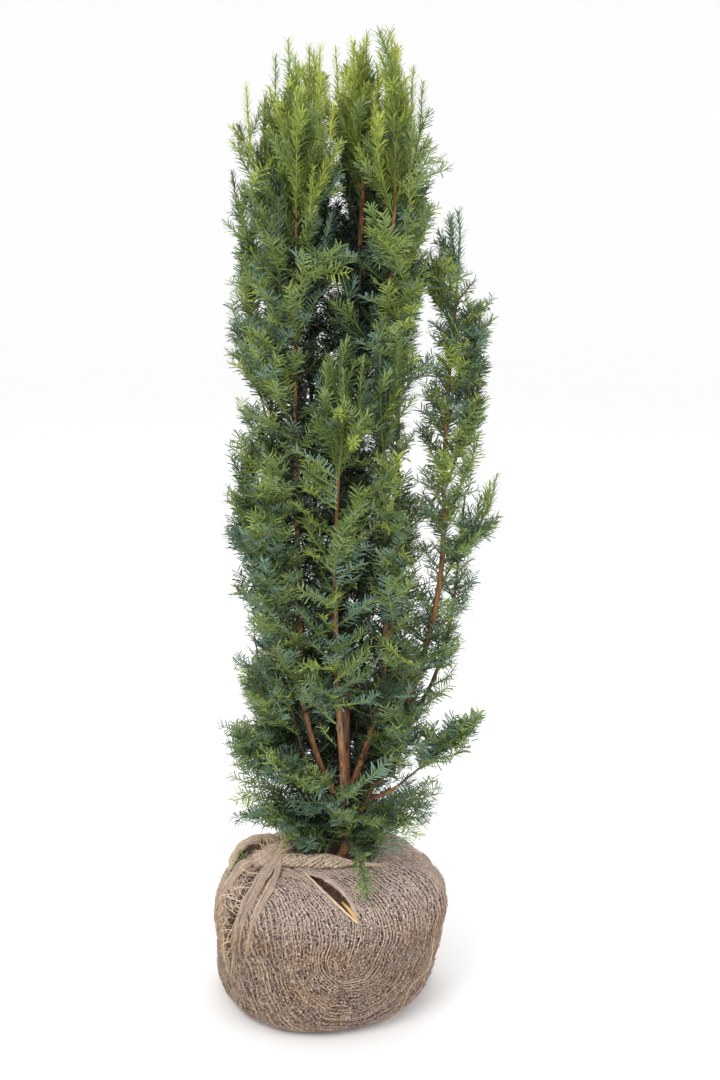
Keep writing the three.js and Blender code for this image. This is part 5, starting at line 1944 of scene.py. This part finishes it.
def splinter_piece(name, finish):
    """A flat sliver of straw that lies in the slit's lower end."""
    stands = ((0.3, -4), (0.6, 0.5), (0.99, 2))
    places = [(slit_edge([t], True, h) + slit_edge([t], False, h))[0] / 2 for t, h in stands]
    path = curve_through(places, 14)
    along = np.linspace(0, 1, 14)[:, None]
    ring = np.array([(-1, 0), (-0.5, 0.5), (0.5, 0.5), (1, 0), (0.5, -0.4), (-0.5, -0.4)])
    sections = ring * np.stack([2.7 * np.sin(math.pi * (0.12 + 0.85 * along)), np.full_like(along, 1.3)], -1)
    points, faces = swept(path, sections[:, ::-1])
    return mesh_object(name, points, faces, finish)


def strand(start, heading, length, droop, key, steps=7):
    """A loose strand that curls a little and sinks under its weight."""
    points, heading = [np.asarray(start, float)], unit(heading)
    curl = unit(np.array([chance(key, n, 95) - 0.5 for n in range(3)]))
    for n in range(steps - 1):
        heading = unit(heading + curl * pick(-0.1, 0.5, key, n, 96) - np.array([0, 0, droop]))
        points.append(points[-1] + heading * length / (steps - 1))
    return np.array(points)


def frayed_ends():
    """The cut ends of yarn, each as a line and its radius.

    They stand across the dark gap, beside it, on the knot, in the ear and at the band's tip.
    """
    made = []
    _, sides, ups = lying_frames(TROUGH)
    for k in range(40):
        j = int(pick(0.04, 0.98, k, 101) * (len(TROUGH) - 1))
        side = sides[j] * (1 if k % 2 else -1)
        start = TROUGH[j] + side * pick(7, 13, k, 102) + ups[j] * pick(0, 6, k, 103)
        heading = ups[j] * pick(0.2, 1.3, k, 105) - side * pick(0.1, 1.0, k, 104)
        heading = heading + (pick(-0.9, 0.4, k, 106), -0.2, pick(-0.9, 0.6, k, 107))
        made.append((strand(start, heading, pick(13, 30, k, 108), 0.05, k), pick(0.45, 1.15, k, 109)))
    for k in range(9):
        start = on_ball(pick(196, 203, k, 151), pick(118, 146, k, 152), 4)
        heading = np.array([-1, pick(-0.5, 0.2, k, 153), pick(-0.7, 0.1, k, 154)])
        made.append((strand(start, heading, pick(9, 17, k, 155), 0.03, 1500 + k), 0.5))
    for k in range(110):
        turn, tilt = 2 * math.pi * chance(k, 111), pick(0.1, 1.2, k, 112)
        way = direction(turn, tilt)
        start = KNOT_AT + way * (17, 14, 14) + (6, 4, 0)
        heading = way + np.array([pick(-0.2, 1.1, k, 113), pick(-0.3, 0.6, k, 114), 0.15])
        made.append((strand(start, heading, pick(10, 30, k, 115), 0.06, 500 + k), pick(0.3, 0.8, k, 116)))
    for k in range(110):
        start = on_ball(pick(150, 190, k, 121), min(pick(186, 200, k, 122), 199), 1.0)
        start = start * (0.9, 0.9, 1) + (0, 0, 4)
        heading = np.array([pick(-0.5, 1, k, 123), -0.9, pick(-0.1, 0.9, k, 124)])
        made.append((strand(start, heading, pick(10, 26, k, 125), 0.1, 900 + k), pick(0.3, 0.7, k, 126)))
    for k in range(26):
        start = np.array([pick(52, 74, k, 131), -46, 212.5])
        heading = np.array([1, pick(-0.6, 0.6, k, 132), pick(-0.1, 0.6, k, 133)])
        made.append((strand(start, heading, pick(9, 20, k, 134), 0.08, 1300 + k), 0.35))
    return made


def hem_lines():
    """The pale hem along the slit's lower edge, and a yarn that has come loose on the right."""
    hem = slit_edge(np.linspace(-0.97, 0.99, 40), False, 0.9)
    places = ((-24, 150, 1), (-30, 118, 5), (-36, 84, 17), (-42, 60, 6), (-48, 24, 9), (-60, 3.5, 16))
    return hem, curve_through([on_ball(*place) for place in places], 60)


class SAPLING_OT_root_ball(bpy.types.Operator):
    """Make the soil ball in its jute cloth, with the open slit in the front shoulder"""

    bl_idname = "sapling.root_ball"
    bl_label = "Root ball"

    def execute(self, context):
        settings = context.scene.sapling_wrap
        points, faces, flow, bare = ball_skin()
        finish = jute_material(settings, "jute_cloth", "cloth")
        cloth = cloth_object("ball_cloth", finish, points, faces, flow, bare)
        dressed(cloth, "jute_over_soil", "root_ball")

        finish = jute_material(settings, "jute_yarn", "yarn")
        lines, pale, thick = yarn_lines(points, faces, flow, bare, settings.yarn_spacing / MM)
        yarns = lines_object("ball_yarns", lines, pale=pale, thick=thick)
        dressed(bake_tree(yarns, skin_tree(), Sides=4, Finish=finish), "jute_over_soil")

        attribute(cloth.data, "way", yarn_ways(points), "FLOAT_VECTOR")
        strewn = strewn_tree()
        strew_fibres(strewn, "ball_fibres", cloth.data, "jute_over_soil", settings.fibres, 40)

        needle = needle_copy(context.scene.sapling_foliage)
        fallen = bake_tree(
            placed("fallen_needles", cloth.data.copy()),
            strewn,
            Copy=needle,
            Density=520.0,
            Above=0.165,
            Across=0.5,
            Stray=3.0,
            Tip=0.12,
            Seed=60,
            Finish=needle_material("yew_needle_fallen", linear("#6f7040"), 0.55),
        )
        bpy.data.objects.remove(needle)
        dressed(fallen, "foliage_new")
        return {"FINISHED"}


class SAPLING_OT_gathers(bpy.types.Operator):
    """Make the knot, the folds gathered under it, the ear, the band, the slit's hem and the frayed ends"""

    bl_idname = "sapling.gathers"
    bl_label = "Knot and gathers"

    def execute(self, context):
        settings = context.scene.sapling_wrap
        cloth, yarn_finish = bpy.data.materials["jute_cloth"], bpy.data.materials["jute_yarn"]
        straw = jute_material(settings, "jute_straw", "straw")
        knot = dressed(knot_piece("knot", cloth), "jute_straw", "wrap_knot")
        ear = dressed(ear_piece("ear", cloth), "jute_cloth", "wrap_ear")
        hem_cloth = jute_material(settings, "jute_hem", "hem")
        band = dressed(band_piece("band", hem_cloth), "jute_straw", "wrap_band")
        folds = []
        for name, (near, lower, half, high, rest) in FOLDS.items():
            path = [*near, *(on_ball(*place) for place in lower)]
            folds.append(dressed(fold_piece(name, cloth, path, half, high, *rest), "jute_cloth"))
        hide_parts("wrap_gathers")
        edge = slit_edge(np.linspace(-0.94, 0.97, 7), True, -0.5)
        half, high = (1, 1.8, 2.2, 1.9, 0.8), (0.8, 1.7, 2.2, 1.8, 0.7)
        slit_lip = dressed(fold_piece("slit_lip", cloth, edge, half, high, lip=-1, key=8), "jute_cloth")
        dry_stalk = twig_material("dry_stalk", linear("#c8934f"), linear("#dcb878"))
        dressed(splinter_piece("slit_splinter", dry_stalk), "jute_straw")

        # Yarns on the folds as on the ball.
        lines, pale, thick = [], [], []
        for piece in (knot, ear, *folds, slit_lip, band):
            mesh = piece.data
            faces = [tuple(face.vertices) for face in mesh.polygons]
            flow, bare = (stored(mesh.attributes[key].data, "value") for key in ("flow", "bare"))
            spacing = 1.05 * settings.yarn_spacing / MM
            more = yarn_lines(stored(mesh.vertices, "co", 3) / MM, faces, flow, bare, spacing)
            lines, pale, thick = lines + more[0], pale + more[1], thick + more[2]
        yarns = lines_object("gather_yarns", lines, pale=pale, thick=thick)
        dressed(bake_tree(yarns, skin_tree(), Sides=4, Finish=yarn_finish), "jute_cloth")

        places, faces, ways, bare = zip(*(fold_cover(piece) for piece in (knot, ear, *folds, slit_lip)))
        skin = mesh_object("gather_skin", *joined(places, faces))
        attribute(skin.data, "way", np.concatenate(ways), "FLOAT_VECTOR")
        attribute(skin.data, "bare", np.concatenate(bare))
        fibres = settings.fibres
        strew_fibres(strewn_tree(), "gather_fibres", skin.data, "jute_cloth", fibres, 70, 1.5, 0.8, 0.85)
        bpy.data.objects.remove(skin)

        frayed = frayed_ends()
        hem, loose = hem_lines()
        thick = [np.linspace(radius, radius * 0.45, len(line)) * MM for line, radius in frayed]
        taper = np.sin(np.pi * np.linspace(0.12, 0.9, len(hem))) ** 0.5
        thick += [(1.9 + 0.6 * wander(hem, 5)) * MM * taper, np.full(len(loose), 0.42 * MM)]
        ends = lines_object("frayed_ends", [line for line, _ in frayed] + [hem, loose], thick=thick)
        dressed(bake_tree(ends, skin_tree(), Sides=5, Finish=straw), "jute_straw")
        return {"FINISHED"}


# ---------------------------------------------------------------- Stage


class SAPLING_OT_stage(bpy.types.Operator):
    """Set the pale floor, the soft studio light and the camera"""

    bl_idname = "sapling.stage"
    bl_label = "Stage"

    def execute(self, context):
        scene, settings = context.scene, context.scene.sapling_stage
        material, tree, place = new_material("painted_floor")
        surface(tree, opaque(settings.floor), ramp(tree, grain(tree, place, 1 / 3, 3.0), 0, 1, 0.75, 0.6))
        # A wide floor whose rim sweeps up, so that it has no edge.
        angles = np.arange(96) * 2 * math.pi / 96
        sweep = np.linspace(0, math.pi / 2, 14)
        risen = zip(6000 + 3000 * np.sin(sweep[1:]), 3600 * (1 - np.cos(sweep[1:])))
        rings = [
            np.column_stack([r * np.cos(angles), r * np.sin(angles), np.full(96, z - 0.4)])
            for r, z in ((1500, 0), (6000, 0), *risen)
        ]
        faces = [list(range(96)), *turned(ring_faces(len(rings), 96))]
        mesh_object("floor", np.vstack(rings), faces, material)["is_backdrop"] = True

        world = bpy.data.worlds.new("white_room")
        world.use_nodes = True
        back = world.node_tree.nodes["Background"]
        back.inputs[0].default_value = (1, 1, 1, 1)
        back.inputs[1].default_value = settings.surroundings
        scene.world = world

        for name, power, size, at, aim in (
            ("key_light", settings.key, 1.6, (-1.5, -2.0, 2.9), (0.02, 0, 0.6)),
            ("fill_light", settings.fill, 1.8, (2.3, -1.4, 1.5), (0.02, 0, 0.6)),
            ("top_light", settings.fill, 1.4, (0.3, 1.0, 3.0), (0.02, 0, 0.9)),
        ):
            light = bpy.data.lights.new(name, "AREA")
            light.energy, light.size = power, size
            lamp = placed(name, light)
            lamp.location = at
            lamp.rotation_euler = (Vector(aim) - Vector(at)).to_track_quat("-Z", "Y").to_euler()

        lens = bpy.data.cameras.new("camera")
        lens.lens, lens.sensor_width = 50, 36
        lens.clip_start, lens.clip_end = 0.05, 60
        camera = placed("camera", lens)
        camera.location = (SIGHT_FROM[0] * MM, -SIGHT_FROM[1] * MM, SIGHT_FROM[2] * MM)
        camera.rotation_euler = (math.radians(90 - 14.282), 0, 0)
        scene.camera = camera
        scene.view_settings.view_transform = "Standard"
        return {"FINISHED"}


# ---------------------------------------------------------------- Panel and main


class SAPLING_PT_panel(bpy.types.Panel):
    """The settings and pieces of the sapling"""

    bl_idname = "SAPLING_PT_panel"
    bl_label = "Yew sapling"
    bl_space_type = "VIEW_3D"
    bl_region_type = "UI"
    bl_category = "Sapling"

    def draw(self, context):
        for title, settings, operators in (
            ("Root ball", context.scene.sapling_wrap, ("sapling.root_ball", "sapling.gathers")),
            ("Limbs", context.scene.sapling_limbs, ("sapling.limbs",)),
            ("Foliage", context.scene.sapling_foliage, ("sapling.foliage",)),
            ("Stage", context.scene.sapling_stage, ("sapling.stage",)),
        ):
            box = self.layout.box()
            box.label(text=title)
            for name in settings.__annotations__:
                box.prop(settings, name)
            for operator in operators:
                box.operator(operator)


CLASSES = (
    LimbSettings,
    FoliageSettings,
    WrapSettings,
    StageSettings,
    SAPLING_OT_root_ball,
    SAPLING_OT_gathers,
    SAPLING_OT_limbs,
    SAPLING_OT_foliage,
    SAPLING_OT_stage,
    SAPLING_PT_panel,
)
SETTINGS = {
    "sapling_limbs": LimbSettings,
    "sapling_foliage": FoliageSettings,
    "sapling_wrap": WrapSettings,
    "sapling_stage": StageSettings,
}


def register():
    for cls in CLASSES:
        bpy.utils.register_class(cls)
    for name, cls in SETTINGS.items():
        setattr(bpy.types.Scene, name, PointerProperty(type=cls))


def unregister():
    for name in SETTINGS:
        delattr(bpy.types.Scene, name)
    for cls in reversed(CLASSES):
        bpy.utils.unregister_class(cls)


def main():
    register()
    bpy.ops.sapling.stage()
    bpy.ops.sapling.root_ball()
    bpy.ops.sapling.gathers()
    bpy.ops.sapling.limbs()
    bpy.ops.sapling.foliage()
    boxes = {"cad": CAD_BOX, "visual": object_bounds()}
    {key: [list(corner) for corner in box] for key, box in boxes.items()}


if __name__ == "__main__":
    main()
